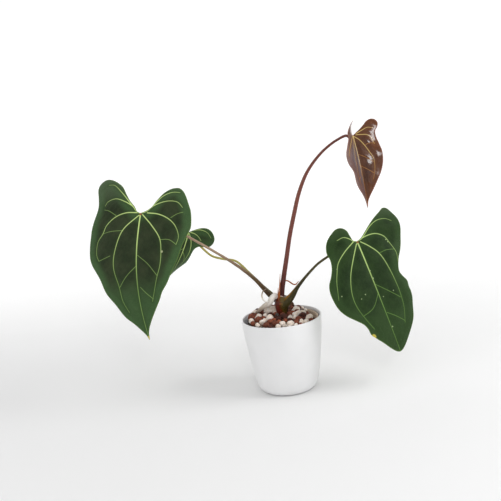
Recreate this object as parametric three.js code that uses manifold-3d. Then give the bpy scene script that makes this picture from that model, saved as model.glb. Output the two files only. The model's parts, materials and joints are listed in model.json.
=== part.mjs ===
// A potted anthurium hybrid with three velvety heart-shaped leaves and one young
// folded leaf, in a clear nursery pot inside a plain white cover pot.
// Millimetres, Z up. The origin is the middle of the cover pot's base, the view
// that shows every leaf face is along +Y, and the leaves spread along X.

import * as THREE from 'three';
import { mergeVertices } from 'three/addons/utils/BufferGeometryUtils.js';
import Module from 'manifold-3d';

const wasm = await Module();
wasm.setup();

const DEG = Math.PI / 180;
const GAP = 0.4;
const MERGE_DISTANCE = 1e-4;

// Cover pot: outer profile as radius and height, from the foot to the rim
const COVER_WALL = 2.4;
const COVER_FLOOR = 3;
const COVER_HEIGHT = 129;
const COVER_EDGE = 0.4;
const COVER_FILLET = { radius: 46, rise: 4 };
const COVER_PROFILE = [
  [40, 0], [45.5, 1.6], [50.5, 6.5], [53.8, 15], [57, 30],
  [60.4, 50], [63.6, 72], [66.2, 92], [68, 112], [69, COVER_HEIGHT],
];
const COVER_SEGMENTS = 48;

// Clear nursery pot that stands on the cover pot's floor
const NURSERY = {
  footRadius: 43, rimRadius: 62.5, foot: COVER_FLOOR + GAP, top: 125,
  wall: 1, lip: 1.4, lipHeight: 3, bevel: 1.5, insideBevel: 1, segments: 40,
};
const DRAIN = { count: 6, radius: 3, ring: 27, length: 6, sides: 10 };

// Substrate: a mound of clay balls, pumice and lava round the crown
const MOUND = { edge: 127.5, backSlope: 0.08, rightSlope: 0.05, peak: 6, spread: 25 };
const HOLLOW = { x: 58, y: 14, depth: 8, spread: 14, clear: 13 };
const CORE = { edge: 113, drop: 2.2, rings: [0.2, 0.45, 0.72, 1], around: 40, below: 3, toe: 1 };
const STONE = { limit: 59.5, large: 12.5, width: 1.04, lift: 0.1, overhang: 0.52 };
const FILL = {
  seed: 20, tries: 2600, smallest: 7.5, largest: 11.5, flattest: 0.75, spacing: 0.84, crown: 8,
};

// Stones that show most: x, y, diameter and height over width
const PLACED_STONES = [
  [-51, 0, 13.5, 1], [-40, -15, 12.6, 0.95], [-38, 3, 9.4, 0.9], [-34, 20, 9.1, 0.9],
  [-31, -10, 7.8, 0.9], [-50, -27, 8.2, 1], [-42, -35, 7.6, 1], [-34, -27, 9.5, 1],
  [-28, -40, 11.2, 0.9], [-13, -39, 12.7, 0.9], [-21, -17, 12.9, 1], [-27, 1, 9, 0.9],
  [-17, 17, 22, 0.85], [-1, -40, 9.8, 1], [-6, -32, 7.7, 0.9], [-10, -17, 8.9, 0.9],
  [3, -17, 12.6, 0.9], [5, -29, 8.4, 0.9], [13, -42, 11.9, 0.9], [14, -20, 10.3, 0.9],
  [24, -6, 10.4, 0.9], [14, -4, 9.3, 0.9], [23, -36, 10.2, 0.9], [35, -14, 13.9, 0.9],
  [48, -8, 11.9, 0.8], [38, 15, 11.4, 0.9], [28, 26, 13.4, 0.8], [20, 35, 8.9, 0.9],
  [44, 29, 7.3, 0.9], [40, 37, 6.2, 0.9], [22, 46, 12, 1], [-44, 24, 11, 0.9],
  [-30, 36, 12, 0.9], [2, 40, 12, 0.9],
];

// Crown: the short stem that carries every leaf stalk
const CROWN = {
  path: [[1, 4, 96], [1, 4, 118], [2, 4, 136], [3.2, 4, 146], [4, 4, 154], [6, 4, 163]],
  radii: [6, 7, 8, 8.9, 12.2, 8.6],
};
const CROWN_SIZE = { sides: 14, steps: 16 };

// Leaf stalks: centre lines from the crown to the back of each blade's sinus
const STALKS = {
  left: {
    path: [
      [-2, 8, 152], [-14.5, 12, 163.7], [-36, 6, 195], [-54, 1, 215], [-72, -3, 232],
      [-102, -9, 257], [-141, -14, 287], [-178, -18, 315],
    ],
    radii: [4.4, 4, 3.2, 2.6, 2.2, 2.1, 2, 2, 2.1, 2.6],
    colour: 0x7d6046,
  },
  back: {
    path: [
      [4.5, 14, 149.5], [-6.5, 19, 159.5], [-25, 23, 179], [-45, 27, 203], [-68, 35, 227],
      [-90, 42, 232], [-109, 50, 238], [-125, 58, 253], [-138, 59, 270],
    ],
    radii: [3.4, 2.8, 2.3, 2, 1.9, 1.9, 1.9, 1.9, 2.3],
    colour: 0x8f8a3c,
  },
  right: {
    path: [
      [5, 0, 147], [12.5, -2, 154], [21.5, -3, 162.8], [31.5, -3, 175.5], [44, -2.5, 189],
      [56.3, -2, 200.8], [71, -1, 213], [92, 0, 225], [114, 0, 238], [129, -4, 245],
    ],
    radii: [9, 6.4, 3.3, 2.5, 2.2, 2.1, 2.1, 2.1, 2.1, 2.6],
    colour: 0x4a4a22,
  },
  young: {
    path: [
      [3.5, 4, 150], [5.5, 4, 170], [11, 4, 194], [19, 4, 226], [29, 5, 266],
      [39, 5, 299], [52, 6, 337], [67, 6, 367], [83, 7, 387], [102, 8, 404],
      [124, 10, 417], [141, 11, 422],
    ],
    radii: [5, 4.4, 4, 3.8, 3.7, 3.6, 3.2, 2.7, 2.3, 2.1, 2.4],
    colour: 0x7c4638,
  },
};

// Blades. In the flat leaf x runs across, to the right as the face is seen, and y
// runs down the midrib from the sinus. yaw and tilt face the blade, spin swings
// its tip to the right, fold lifts each half and cup droops it towards the margin.
const BLADES = {
  left: {
    sinus: [-211, -30, 337], yaw: -12, tilt: 24, spin: 0, length: 209, sway: -10,
    fold: [7, 7], lobeFold: [0, 0], cup: [0.0052, 0.005], bend: 0.0021,
    lobeBend: 0.003, twist: 0, halfWidth: 88, wave: [2, 2], waveLength: 62,
    ribs: 30, steps: 5, colour: 0x2c4a2a,
    leftMargin: [
      [0, 0], [-6, -2], [-12, -11], [-22, -22], [-30, -33], [-40, -48], [-52, -58],
      [-66, -66], [-78, -69], [-86, -65], [-89, -55], [-86, -38], [-83, -16],
      [-84, 5], [-88, 25], [-90, 42], [-87, 57], [-80, 80], [-66, 105],
      [-55, 129], [-43, 146], [-30, 168], [-17, 181], [-9, 191],
      [-3.5, 199], [-1.5, 204], [0, 209],
    ],
    rightMargin: [
      [0, 0], [10, -3], [18, -8], [25, -18], [34, -29], [42, -35], [50, -38],
      [59, -38], [66, -33], [72, -24], [79, -9], [84, 3], [87, 20], [87, 30],
      [82, 43], [76, 58], [69, 79], [61, 95], [50, 117], [40, 131], [34, 143],
      [24, 159], [13, 176], [5, 190], [2, 198], [1, 204], [0, 209],
    ],
  },
  right: {
    sinus: [139, -15, 247], yaw: 6, tilt: 26, spin: 13.5, length: 198, sway: -2,
    fold: [8, 3], lobeFold: [0, 0], cup: [0.0048, 0.0044], bend: 0.002,
    lobeBend: 0.003, twist: 0.0018, halfWidth: 80, wave: [2.2, 3.4], waveLength: 58,
    ribs: 30, steps: 5, colour: 0x2a4526,
    leftMargin: [
      [0, 0], [-6, -3], [-8, -12], [-10, -24], [-17, -31], [-26, -32], [-38, -26],
      [-48, -18], [-54, -8], [-57, 3], [-56, 14], [-59, 28], [-66, 41], [-74, 52],
      [-78, 64], [-78, 80], [-75, 95], [-68, 108], [-58, 119], [-47, 131],
      [-43, 141], [-42, 150], [-35, 160], [-27, 170], [-16, 185], [-6, 195], [0, 198],
    ],
    rightMargin: [
      [0, 0], [7, -2], [16, -8], [28, -17], [43, -27], [58, -35], [68, -40],
      [76, -37], [82, -24], [84, -8], [84, 8], [80, 23], [71, 36], [60, 50],
      [55, 62], [54, 73], [58, 82], [63, 92], [61, 103], [62, 113], [63, 126],
      [59, 141], [50, 157], [38, 171], [27, 182], [15, 192], [6, 197], [0, 198],
    ],
  },
  young: {
    sinus: [150, 5, 421], yaw: 24, tilt: 18, spin: 0, length: 122, sway: 0,
    fold: [42, 38], lobeFold: [1.6, 0], cup: [0.004, 0.004], bend: 0.0015,
    lobeBend: -0.002, twist: 0, halfWidth: 44, wave: [0.8, 1], waveLength: 46,
    ribs: 24, steps: 4, colour: 0x4a2216,
    leftMargin: [
      [0, 0], [-5, -5], [-10, -11], [-16, -17], [-22, -20], [-28, -19], [-31, -14],
      [-29, -6], [-25, 2], [-28, 9], [-35, 17], [-41, 25], [-47, 33], [-51, 41],
      [-52, 48], [-48, 54], [-42, 58], [-36, 64], [-34, 72], [-33, 81], [-28, 90],
      [-17, 99], [-7, 109], [0, 122],
    ],
    rightMargin: [
      [0, 0], [7, -4], [14, -8], [21, -13], [27, -18], [34, -20], [40, -18],
      [44, -11], [42, -4], [37, 2], [36, 10], [38, 22], [40, 36], [38, 52],
      [32, 67], [24, 79], [15, 92], [7, 103], [2, 112], [0, 122],
    ],
  },
  back: {
    sinus: [-144, 45, 285.5], yaw: 2, tilt: 22, spin: -30, length: 82, sway: 4,
    fold: [4, -8], lobeFold: [0, 0], cup: [0.006, 0.015], bend: 0.003,
    lobeBend: 0.002, twist: 0.017, halfWidth: 50, wave: [1.2, 1], waveLength: 40,
    ribs: 24, steps: 4, colour: 0x2f5a26,
    leftMargin: [
      [0, 0], [-9, -8], [-21, -16], [-32, -19], [-41, -17], [-48, -10], [-50, 0],
      [-46, 12], [-41, 22], [-37, 34], [-33, 46], [-27, 57], [-18, 67], [-8, 76],
      [0, 82],
    ],
    rightMargin: [
      [0, 0], [9, -8], [21, -16], [32, -19], [41, -17], [49, -10], [51, -2],
      [49, 5], [42, 9], [34, 12], [27, 15], [22, 20], [20, 27], [21, 36], [24, 45],
      [28, 54], [24, 62], [15, 71], [6, 78], [0, 82],
    ],
  },
};
const BLADE_THICKNESS = 0.9;
const RIB = { depth: 1.5, halfWidth: 3, fade: 0.8 };
const WAVE_PHASE = [0.6, 2.4];
const FIRST_STEP = 0.3;
const JOIN = { place: 3.4, slack: 0.3, bend: 5 };
const STALK_SIZE = { sides: 9, steps: 26 };

// Papery sheaths, a dried thread of one, and the roots that leave the crown
const TALL_BRACT = {
  path: [[1.2, -3.2, 157], [1.7, -3.4, 172], [4, -2, 188], [5.8, -2, 204]],
  radii: [2.2, 1.9, 1.4, 0.6],
};
const SHORT_BRACT = {
  path: [[-1.2, -4.6, 150], [-2, -7.6, 158], [-1.2, -8.2, 169], [-0.3, -7, 181]],
  radii: [1.7, 1.6, 1.3, 0.6],
};
const BRACT_THREAD = {
  path: [
    [14, -0.2, 190], [17, -1, 189.8], [21, -1, 186.8], [26, -1, 182.6],
    [30.5, -1, 182], [33.5, -1, 184.7], [36, -1, 187],
  ],
  radii: [1, 1.2, 1.1, 0.9, 0.6],
};
const AERIAL_ROOT = {
  path: [
    [-2.5, 4, 158], [-6, 1.6, 165.5], [-11, -1, 164], [-18, -1.6, 154.5], [-27, 4, 148.5],
    [-35, 11, 141.5], [-42.5, 17.5, 132.3], [-45, 19, 120],
  ],
  radii: [3.8, 5, 5.3, 4.8, 3.9, 3.1, 2.6, 2.2],
};
const ROOT_LOOP = {
  path: [[-20, -7.3, 158], [-27, -5.5, 161], [-29.5, -4, 169], [-27, -2, 176], [-21.5, -2.5, 180]],
  radii: [1.4, 1.3, 1.2, 1.1, 0.8],
};
const ROOT_SIZE = { sides: 9, steps: 22 };
const TALL_SIZE = { sides: 6, steps: 8 };
const SHORT_SIZE = { sides: 6, steps: 6 };
const THREAD_SIZE = { sides: 6, steps: 12 };

// Closed triangle body from a list of points and a list of index triples
function body(points, triangles) {
  const geometry = new THREE.BufferGeometry();
  geometry.setAttribute('position', new THREE.Float32BufferAttribute(points.flat(), 3));
  geometry.setIndex(triangles.flat());
  return geometry;
}

function toSolid(geometry) {
  const bare = geometry.clone();
  bare.deleteAttribute('normal');
  bare.deleteAttribute('uv');
  const merged = mergeVertices(bare, MERGE_DISTANCE);
  return new wasm.Manifold(new wasm.Mesh({
    numProp: 3,
    vertProperties: new Float32Array(merged.attributes.position.array),
    triVerts: new Uint32Array(merged.index.array),
  }));
}

function toGeometry(solid) {
  const mesh = solid.getMesh();
  const geometry = new THREE.BufferGeometry();
  geometry.setAttribute('position', new THREE.BufferAttribute(mesh.vertProperties, 3));
  geometry.setIndex(new THREE.BufferAttribute(mesh.triVerts, 1));
  return geometry;
}

function largestPiece(solid) {
  const pieces = solid.decompose();
  return pieces.reduce((best, piece) => (piece.volume() > best.volume() ? piece : best));
}

// Revolved wall: the profile runs as radius and height round the whole section
function revolve(profile, segments) {
  const points = profile.map(([radius, height]) => new THREE.Vector2(radius, height));
  const geometry = new THREE.LatheGeometry(points, segments);
  geometry.rotateX(Math.PI / 2);
  return geometry;
}

function valueAt(values, fraction) {
  const place = fraction * (values.length - 1);
  const index = Math.min(Math.floor(place), values.length - 2);
  return THREE.MathUtils.lerp(values[index], values[index + 1], place - index);
}

// Closed round tube along a smooth path, with its radius given at even stations.
// grow widens and lengthens it, for the plain hole that it stands in.
function tube({ path, radii }, { sides, steps, grow = 0 }) {
  const stations = path.map((point) => new THREE.Vector3(...point));
  const curve = new THREE.CatmullRomCurve3(stations, false, 'centripetal');
  const frames = curve.computeFrenetFrames(steps, false);
  const points = [];
  const triangles = [];
  for (let i = 0; i <= steps; i++) {
    const centre = curve.getPointAt(i / steps);
    if (i === 0) centre.addScaledVector(frames.tangents[i], -grow);
    if (i === steps) centre.addScaledVector(frames.tangents[i], grow);
    const radius = valueAt(radii, i / steps) + grow;
    for (let j = 0; j < sides; j++) {
      const angle = (2 * Math.PI * j) / sides;
      const point = centre.clone()
        .addScaledVector(frames.normals[i], radius * Math.cos(angle))
        .addScaledVector(frames.binormals[i], radius * Math.sin(angle));
      points.push(point.toArray());
    }
  }
  for (let i = 0; i < steps; i++) {
    for (let j = 0; j < sides; j++) {
      const a = i * sides + j;
      const b = i * sides + ((j + 1) % sides);
      triangles.push([a, b, b + sides], [a, b + sides, a + sides]);
    }
  }
  const last = steps * sides;
  for (let j = 1; j < sides - 1; j++) {
    triangles.push([0, j + 1, j], [last, last + j, last + j + 1]);
  }
  return body(points, triangles);
}

// Leaf frame: down the midrib, out of the face, and to the right across it
function leafFrame({ yaw, tilt, spin }) {
  const [y, t, s] = [yaw, tilt, spin].map((angle) => angle * DEG);
  const level = new THREE.Vector3(Math.cos(y), Math.sin(y), 0);
  const front = new THREE.Vector3(Math.sin(y), -Math.cos(y), 0);
  const face = front.multiplyScalar(Math.cos(t)).add(new THREE.Vector3(0, 0, Math.sin(t)));
  const plumb = new THREE.Vector3().crossVectors(level, face);
  if (plumb.z > 0) plumb.negate();
  const down = plumb.multiplyScalar(Math.cos(s)).addScaledVector(level, Math.sin(s));
  const across = new THREE.Vector3().crossVectors(face, down);
  return { down, face, across };
}

// How far the midrib swings sideways at a place along it
function swayAt({ sway, length }, y) {
  const swing = Math.PI / length;
  return y >= 0 ? sway * Math.sin(swing * Math.min(y, length)) : sway * swing * y;
}

function mix(first, second, angle) {
  return first.clone().multiplyScalar(Math.cos(angle)).addScaledVector(second, Math.sin(angle));
}

// Point of the curved blade over flat place (x, y), lifted along the local normal
function bladePoint(leaf, x, y, lift) {
  const { down, face, across } = leafFrame(leaf);
  const side = x < 0 ? 0 : 1;
  const curvature = y >= 0 ? leaf.bend : leaf.lobeBend;
  const turn = curvature * y;
  const point = new THREE.Vector3(...leaf.sinus)
    .addScaledVector(down, Math.sin(turn) / curvature)
    .addScaledVector(face, -(1 - Math.cos(turn)) / curvature)
    .addScaledVector(across, swayAt(leaf, y));
  const bentFace = mix(face, down, turn);
  const roll = leaf.twist * y;
  const out = mix(bentFace, across, roll);
  const right = mix(across, bentFace, -roll);
  const fold = (leaf.fold[side] + leaf.lobeFold[side] * Math.max(0, -y)) * DEG;
  const cup = leaf.cup[side];
  const reach = Math.abs(x);
  const slope = fold - cup * reach;
  const outward = (Math.sin(fold) - Math.sin(slope)) / cup;
  const height = (Math.cos(slope) - Math.cos(fold)) / cup;
  const margin = (reach / leaf.halfWidth) ** 2;
  const waveAngle = (2 * Math.PI * y) / leaf.waveLength + WAVE_PHASE[side];
  const ripple = leaf.wave[side] * margin * Math.sin(waveAngle);
  const sign = x < 0 ? -1 : 1;
  point.addScaledVector(right, sign * outward).addScaledVector(out, height);
  if (reach < MERGE_DISTANCE) {
    return point.addScaledVector(out, lift / foldMitre(leaf));
  }
  const total = lift + ripple;
  return point
    .addScaledVector(out, total * Math.cos(slope))
    .addScaledVector(right, -sign * total * Math.sin(slope));
}

// Share of a lift along the midrib that is square to both halves
function foldMitre({ fold }) {
  return Math.cos(((fold[0] + fold[1]) / 2) * DEG);
}

function underside(leaf, x, y) {
  const bulge = Math.exp(-((x / RIB.halfWidth) ** 2));
  const rib = bulge * (1 - (RIB.fade * Math.max(0, y)) / leaf.length);
  return -(BLADE_THICKNESS / 2 + RIB.depth * rib);
}

function spacedMargin(points, count) {
  const stations = points.map(([x, y]) => new THREE.Vector3(x, y, 0));
  return new THREE.CatmullRomCurve3(stations, false, 'centripetal').getSpacedPoints(count);
}

// Blade: lines run from even places on the midrib to even places on the margin,
// and both faces use the same triangles
function blade(leaf) {
  const { ribs, steps, length } = leaf;
  const flat = [];
  const faces = [];
  const midrib = [];
  for (let i = 0; i <= ribs; i++) {
    midrib.push(flat.push([0, (length * i) / ribs]) - 1);
  }
  const halves = [[leaf.leftMargin, -1], [leaf.rightMargin, 1]];
  const rims = [];
  for (const [outline, sign] of halves) {
    const margin = spacedMargin(outline, ribs);
    const rows = [];
    for (let i = 0; i <= ribs; i++) {
      const row = [midrib[i]];
      const ended = i === 0 || i === ribs;
      for (let j = 1; j <= steps && !ended; j++) {
        const fraction = (j - 1 + FIRST_STEP) / (steps - 1 + FIRST_STEP);
        const x = margin[i].x * fraction;
        const y = THREE.MathUtils.lerp((length * i) / ribs, margin[i].y, fraction);
        row.push(flat.push([x, y]) - 1);
      }
      rows.push(row);
    }
    for (let i = 0; i < ribs; i++) {
      for (let j = 0; j < steps; j++) {
        const corners = [rows[i][j], rows[i][j + 1], rows[i + 1][j + 1], rows[i + 1][j]];
        const [a, b, c, d] = corners.map((corner, k) => corner ?? rows[i + (k > 1 ? 1 : 0)][0]);
        for (const face of [[a, b, c], [a, c, d]]) {
          const whole = new Set(face).size === 3;
          if (whole) faces.push(sign > 0 ? face : [face[0], face[2], face[1]]);
        }
      }
    }
    rims.push(rows.map((row) => row[row.length - 1]));
  }
  const top = flat.map(([x, y]) => bladePoint(leaf, x, y, BLADE_THICKNESS / 2).toArray());
  const bottom = flat.map(([x, y]) => bladePoint(leaf, x, y, underside(leaf, x, y)).toArray());
  const count = flat.length;
  const triangles = [];
  for (const [a, b, c] of faces) {
    triangles.push([a, c, b], [a + count, b + count, c + count]);
  }
  rims.forEach((rim, half) => {
    for (let i = 0; i < rim.length - 1; i++) {
      const [a, b] = half === 0 ? [rim[i + 1], rim[i]] : [rim[i], rim[i + 1]];
      triangles.push([a, b, b + count], [a, b + count, a + count]);
    }
  });
  return body([...top, ...bottom], triangles);
}

// Stalk: its path ends square to the back of the blade, a gap short of it
function stalk(name) {
  const { path, radii } = STALKS[name];
  const leaf = BLADES[name];
  const back = underside(leaf, 0, JOIN.place) / foldMitre(leaf);
  const end = bladePoint(leaf, 0, JOIN.place, 0);
  const { face } = leafFrame(leaf);
  const tip = end.clone().addScaledVector(face, back - GAP - JOIN.slack);
  const bend = tip.clone().addScaledVector(face, -JOIN.bend);
  return { path: [...path, bend.toArray(), tip.toArray()], radii };
}

function attached(shape, options, crownHole) {
  return toGeometry(largestPiece(toSolid(tube(shape, options)).subtract(crownHole)));
}

// Height of the substrate's surface
function moundHeight(x, y) {
  const centre = MOUND.peak * Math.exp(-(x * x + y * y) / (2 * MOUND.spread ** 2));
  const away = (x - HOLLOW.x) ** 2 + (y - HOLLOW.y) ** 2;
  const dip = HOLLOW.depth * Math.exp(-away / (2 * HOLLOW.spread ** 2));
  return MOUND.edge + MOUND.backSlope * y - MOUND.rightSlope * x + centre - dip;
}

function nurseryInside(z) {
  const { footRadius, rimRadius, foot, top, wall } = NURSERY;
  return footRadius + ((rimRadius - footRadius) * (z - foot)) / (top - foot) - wall;
}

// Core of the substrate: fills the nursery pot up to the mound
function substrateCore() {
  const { edge, drop, rings, around, below, toe } = CORE;
  const floor = NURSERY.foot + NURSERY.wall + GAP;
  const points = [[0, 0, moundHeight(0, 0) - drop]];
  for (const part of rings) {
    for (let j = 0; j < around; j++) {
      const angle = (2 * Math.PI * j) / around;
      const reach = part * (nurseryInside(edge) - GAP);
      const [x, y] = [reach * Math.cos(angle), reach * Math.sin(angle)];
      const height = moundHeight(x, y);
      const atWall = Math.min(height - 2 * drop, NURSERY.top - below);
      points.push([x, y, part < 1 ? height - drop : atWall]);
    }
  }
  for (let j = 0; j < around; j++) {
    const angle = (2 * Math.PI * j) / around;
    const reach = nurseryInside(floor) - GAP - toe;
    points.push([reach * Math.cos(angle), reach * Math.sin(angle), floor]);
  }
  const centre = points.push([0, 0, floor]) - 1;
  const triangles = [];
  const at = (ring, j) => 1 + ring * around + (j % around);
  for (let j = 0; j < around; j++) {
    triangles.push([0, at(0, j), at(0, j + 1)]);
    for (let ring = 0; ring < rings.length; ring++) {
      triangles.push([at(ring, j), at(ring + 1, j), at(ring + 1, j + 1)]);
      triangles.push([at(ring, j), at(ring + 1, j + 1), at(ring, j + 1)]);
    }
    triangles.push([centre, at(rings.length, j + 1), at(rings.length, j)]);
  }
  return body(points, triangles);
}

// Small repeatable random numbers between 0 and 1
function randomFrom(seed) {
  const multiplier = 16807;
  const modulus = 2147483647;
  let state = seed;
  return () => {
    state = (state * multiplier) % modulus;
    return state / modulus;
  };
}

// Placed stones first, then smaller ones wherever there is room between them
function stoneList() {
  const random = randomFrom(FILL.seed);
  const stones = PLACED_STONES.map(([x, y, size, flatness]) => ({ x, y, size, flatness }));
  for (let i = 0; i < FILL.tries; i++) {
    const angle = 2 * Math.PI * random();
    const reach = STONE.limit * Math.sqrt(random());
    const size = THREE.MathUtils.lerp(FILL.smallest, FILL.largest, random());
    const flatness = THREE.MathUtils.lerp(FILL.flattest, 1, random());
    const [x, y] = [reach * Math.cos(angle), reach * Math.sin(angle)];
    const apart = stones.every((other) => (
      Math.hypot(other.x - x, other.y - y) > (FILL.spacing * (other.size + size)) / 2));
    const inside = reach + STONE.overhang * size < STONE.limit;
    const offCrown = Math.hypot(x - CROWN.path[0][0], y - CROWN.path[0][1]) > FILL.crown;
    const offHollow = Math.hypot(x - HOLLOW.x, y - HOLLOW.y) > HOLLOW.clear;
    if (apart && inside && offCrown && offHollow) stones.push({ x, y, size, flatness });
  }
  return stones;
}

function stone({ x, y, size, flatness }, random) {
  const geometry = new THREE.IcosahedronGeometry(size / 2, size > STONE.large ? 1 : 0);
  geometry.rotateZ(Math.PI * random());
  geometry.rotateX(Math.PI * random());
  geometry.scale(STONE.width, STONE.width, flatness);
  geometry.translate(x, y, moundHeight(x, y) + STONE.lift * size * flatness);
  return toSolid(geometry);
}

function substrate(holes) {
  const random = randomFrom(FILL.seed + 1);
  const solids = stoneList().map((place) => stone(place, random));
  const heap = wasm.Manifold.union([toSolid(substrateCore()), ...solids]);
  return toGeometry(largestPiece(holes.reduce((rest, hole) => rest.subtract(hole), heap)));
}

function coverPot() {
  const outside = COVER_PROFILE.slice(0, -1);
  const radius = COVER_PROFILE[outside.length][0];
  const inner = radius - COVER_WALL;
  const shoulder = COVER_HEIGHT - 2 * COVER_EDGE;
  const rim = [
    [radius, shoulder], [radius - COVER_EDGE, COVER_HEIGHT],
    [inner + COVER_EDGE, COVER_HEIGHT], [inner, shoulder],
  ];
  const inside = outside.slice(3).reverse().map(([reach, height]) => [reach - COVER_WALL, height]);
  const foot = [
    [COVER_PROFILE[2][0] - COVER_WALL, COVER_FLOOR + COVER_FILLET.rise],
    [COVER_FILLET.radius, COVER_FLOOR], [0, COVER_FLOOR],
  ];
  return revolve([[0, 0], ...outside, ...rim, ...inside, ...foot], COVER_SEGMENTS);
}

function nurseryPot() {
  const { footRadius, rimRadius, foot, top, wall, lip, lipHeight, bevel, insideBevel } = NURSERY;
  const below = nurseryInside(top - lipHeight) + wall;
  const shell = revolve([
    [0, foot], [footRadius - bevel, foot], [footRadius, foot + bevel], [below, top - lipHeight],
    [below + lip, top - lipHeight], [rimRadius + lip, top], [rimRadius - wall, top],
    [footRadius - wall, foot + wall + insideBevel],
    [footRadius - wall - insideBevel, foot + wall], [0, foot + wall],
  ], NURSERY.segments);
  let solid = toSolid(shell);
  for (let i = 0; i < DRAIN.count; i++) {
    const angle = (2 * Math.PI * (i + 0.5)) / DRAIN.count;
    const drill = new THREE.CylinderGeometry(DRAIN.radius, DRAIN.radius, DRAIN.length, DRAIN.sides);
    drill.rotateX(Math.PI / 2);
    drill.translate(DRAIN.ring * Math.cos(angle), DRAIN.ring * Math.sin(angle), foot + wall / 2);
    solid = solid.subtract(toSolid(drill));
  }
  return toGeometry(solid);
}

function material(colour, roughness, options = {}) {
  return new THREE.MeshStandardMaterial({
    color: colour, roughness, metalness: 0, flatShading: true, ...options,
  });
}

const plant = new THREE.Group();

function add(name, geometry, look) {
  const mesh = new THREE.Mesh(geometry, look);
  mesh.name = name;
  plant.add(mesh);
}

const crownHole = toSolid(tube(CROWN, { ...CROWN_SIZE, grow: GAP }));
const rootHole = toSolid(tube(AERIAL_ROOT, { ...ROOT_SIZE, grow: GAP }));
const clear = { transparent: true, opacity: 0.6 };

add('cover_pot', coverPot(), material(0xf1f1ef, 0.35));
add('nursery_pot', nurseryPot(), material(0xd9dde0, 0.3, clear));
add('substrate', substrate([crownHole, rootHole]), material(0x9a7a66, 0.95));
add('crown', tube(CROWN, CROWN_SIZE), material(0x5c4a22, 0.6));
for (const [name, { colour }] of Object.entries(STALKS)) {
  const shape = attached(stalk(name), STALK_SIZE, crownHole);
  add(`${name}_leaf_stalk`, shape, material(colour, 0.5));
}
for (const [name, leaf] of Object.entries(BLADES)) {
  add(`${name}_leaf_blade`, blade(leaf), material(leaf.colour, name === 'young' ? 0.25 : 0.6));
}
add('tall_bract', attached(TALL_BRACT, TALL_SIZE, crownHole), material(0xb8672d, 0.8));
add('short_bract', attached(SHORT_BRACT, SHORT_SIZE, crownHole), material(0xb8672d, 0.8));
add('bract_thread', tube(BRACT_THREAD, THREAD_SIZE), material(0xc0652a, 0.8));
add('aerial_root', attached(AERIAL_ROOT, ROOT_SIZE, crownHole), material(0xd8d0c6, 0.85));
add('root_loop', tube(ROOT_LOOP, THREAD_SIZE), material(0xd6d0c8, 0.85));

export default plant;
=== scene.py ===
"""Potted anthurium hybrid: two large velvety green leaves, a smaller one behind, and a
glossy brown young leaf, rooted in clay balls, pumice and lava in a white pot."""

import json
import math

import bmesh
import bpy
import numpy as np
from mathutils import Matrix, Vector, geometry, kdtree

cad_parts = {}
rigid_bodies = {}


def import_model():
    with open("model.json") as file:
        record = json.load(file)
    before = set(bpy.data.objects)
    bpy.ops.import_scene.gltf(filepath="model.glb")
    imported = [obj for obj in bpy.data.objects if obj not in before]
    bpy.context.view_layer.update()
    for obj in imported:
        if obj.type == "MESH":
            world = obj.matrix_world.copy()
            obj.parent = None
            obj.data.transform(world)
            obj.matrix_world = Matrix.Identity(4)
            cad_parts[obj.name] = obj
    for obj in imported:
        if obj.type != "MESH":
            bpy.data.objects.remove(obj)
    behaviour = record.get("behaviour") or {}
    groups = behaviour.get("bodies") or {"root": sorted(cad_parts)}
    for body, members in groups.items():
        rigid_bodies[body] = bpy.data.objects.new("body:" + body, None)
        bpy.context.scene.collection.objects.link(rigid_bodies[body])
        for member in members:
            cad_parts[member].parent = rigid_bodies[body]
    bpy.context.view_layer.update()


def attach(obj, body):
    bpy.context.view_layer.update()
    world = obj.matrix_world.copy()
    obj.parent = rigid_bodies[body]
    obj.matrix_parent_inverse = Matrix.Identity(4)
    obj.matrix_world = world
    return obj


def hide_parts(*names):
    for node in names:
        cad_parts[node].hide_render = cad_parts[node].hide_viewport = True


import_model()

bl_info = {
    "name": "Potted Anthurium",
    "version": (1, 0, 0),
    "blender": (4, 5, 0),
    "location": "3D View > Sidebar > Anthurium",
    "description": "Builds a potted anthurium hybrid piece by piece",
    "category": "Add Mesh",
}

MM = 0.001
BODY = "root"

# Camera, in millimetres and degrees, with the pixel where the pot's foot stands, and the
# nearest and furthest that it sees in metres
PICTURE = 501
FOOT_PIXEL = (288.85, 386.1)
CAMERA_DISTANCE = 1226
CAMERA_PITCH = 10.5
CAMERA_ROLL = 6.5
LENS = 50
SENSOR = 36
CLIP = (0.05, 20)

# Cover pot, in millimetres: radius and height from the foot to the rim, and on its floor
COVER_WALL = 2.4
COVER_HEIGHT = 129
COVER_STAND = (36, 0)
COVER_PROFILE = [
    (40, 0), (45.5, 1.6), (50.5, 6.5), (53.8, 15), (57, 30),
    (60.4, 50), (63.6, 72), (66.2, 92), (68, 112), (69, 127.6),
]
COVER_FLOOR = [(48.1, 7), (46, 3), (0, 3)]
COVER_STEP = 2.5

# Clear nursery pot
NURSERY = {
    "foot_radius": 43, "rim_radius": 62.5, "foot": 3.4, "top": 125,
    "wall": 1, "lip": 1.4, "lip_height": 3, "chamfer": 1.5, "inner_chamfer": 1, "middle": 30,
}

# Substrate: its surface, the heap under the stones, the grit, and how a stone lies
MOUND = {"edge": 127.5, "back": 0.08, "right": 0.05, "peak": 6, "spread": 25}
HOLLOW = {"x": 58, "y": 14, "depth": 8, "spread": 14, "clear": 13}
CORE = {"edge": 113, "drop": 2.2, "gap": 0.4, "around": 96, "steps": 22}
LUMP = {"height": 0.5, "ceiling": 122}
GRIT = {
    "rise": 0.9, "around": 48, "steps": 10, "reach": 0.97, "smallest": 0.35,
    "size_seed": 5, "turn_seed": 6, "crumb_shapes": 4, "crumb_seed": 60,
}
STONE = {"limit": 59.5, "overhang": 0.52, "half": 0.51, "lift": 0.1, "flattest": 0.75}

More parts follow.
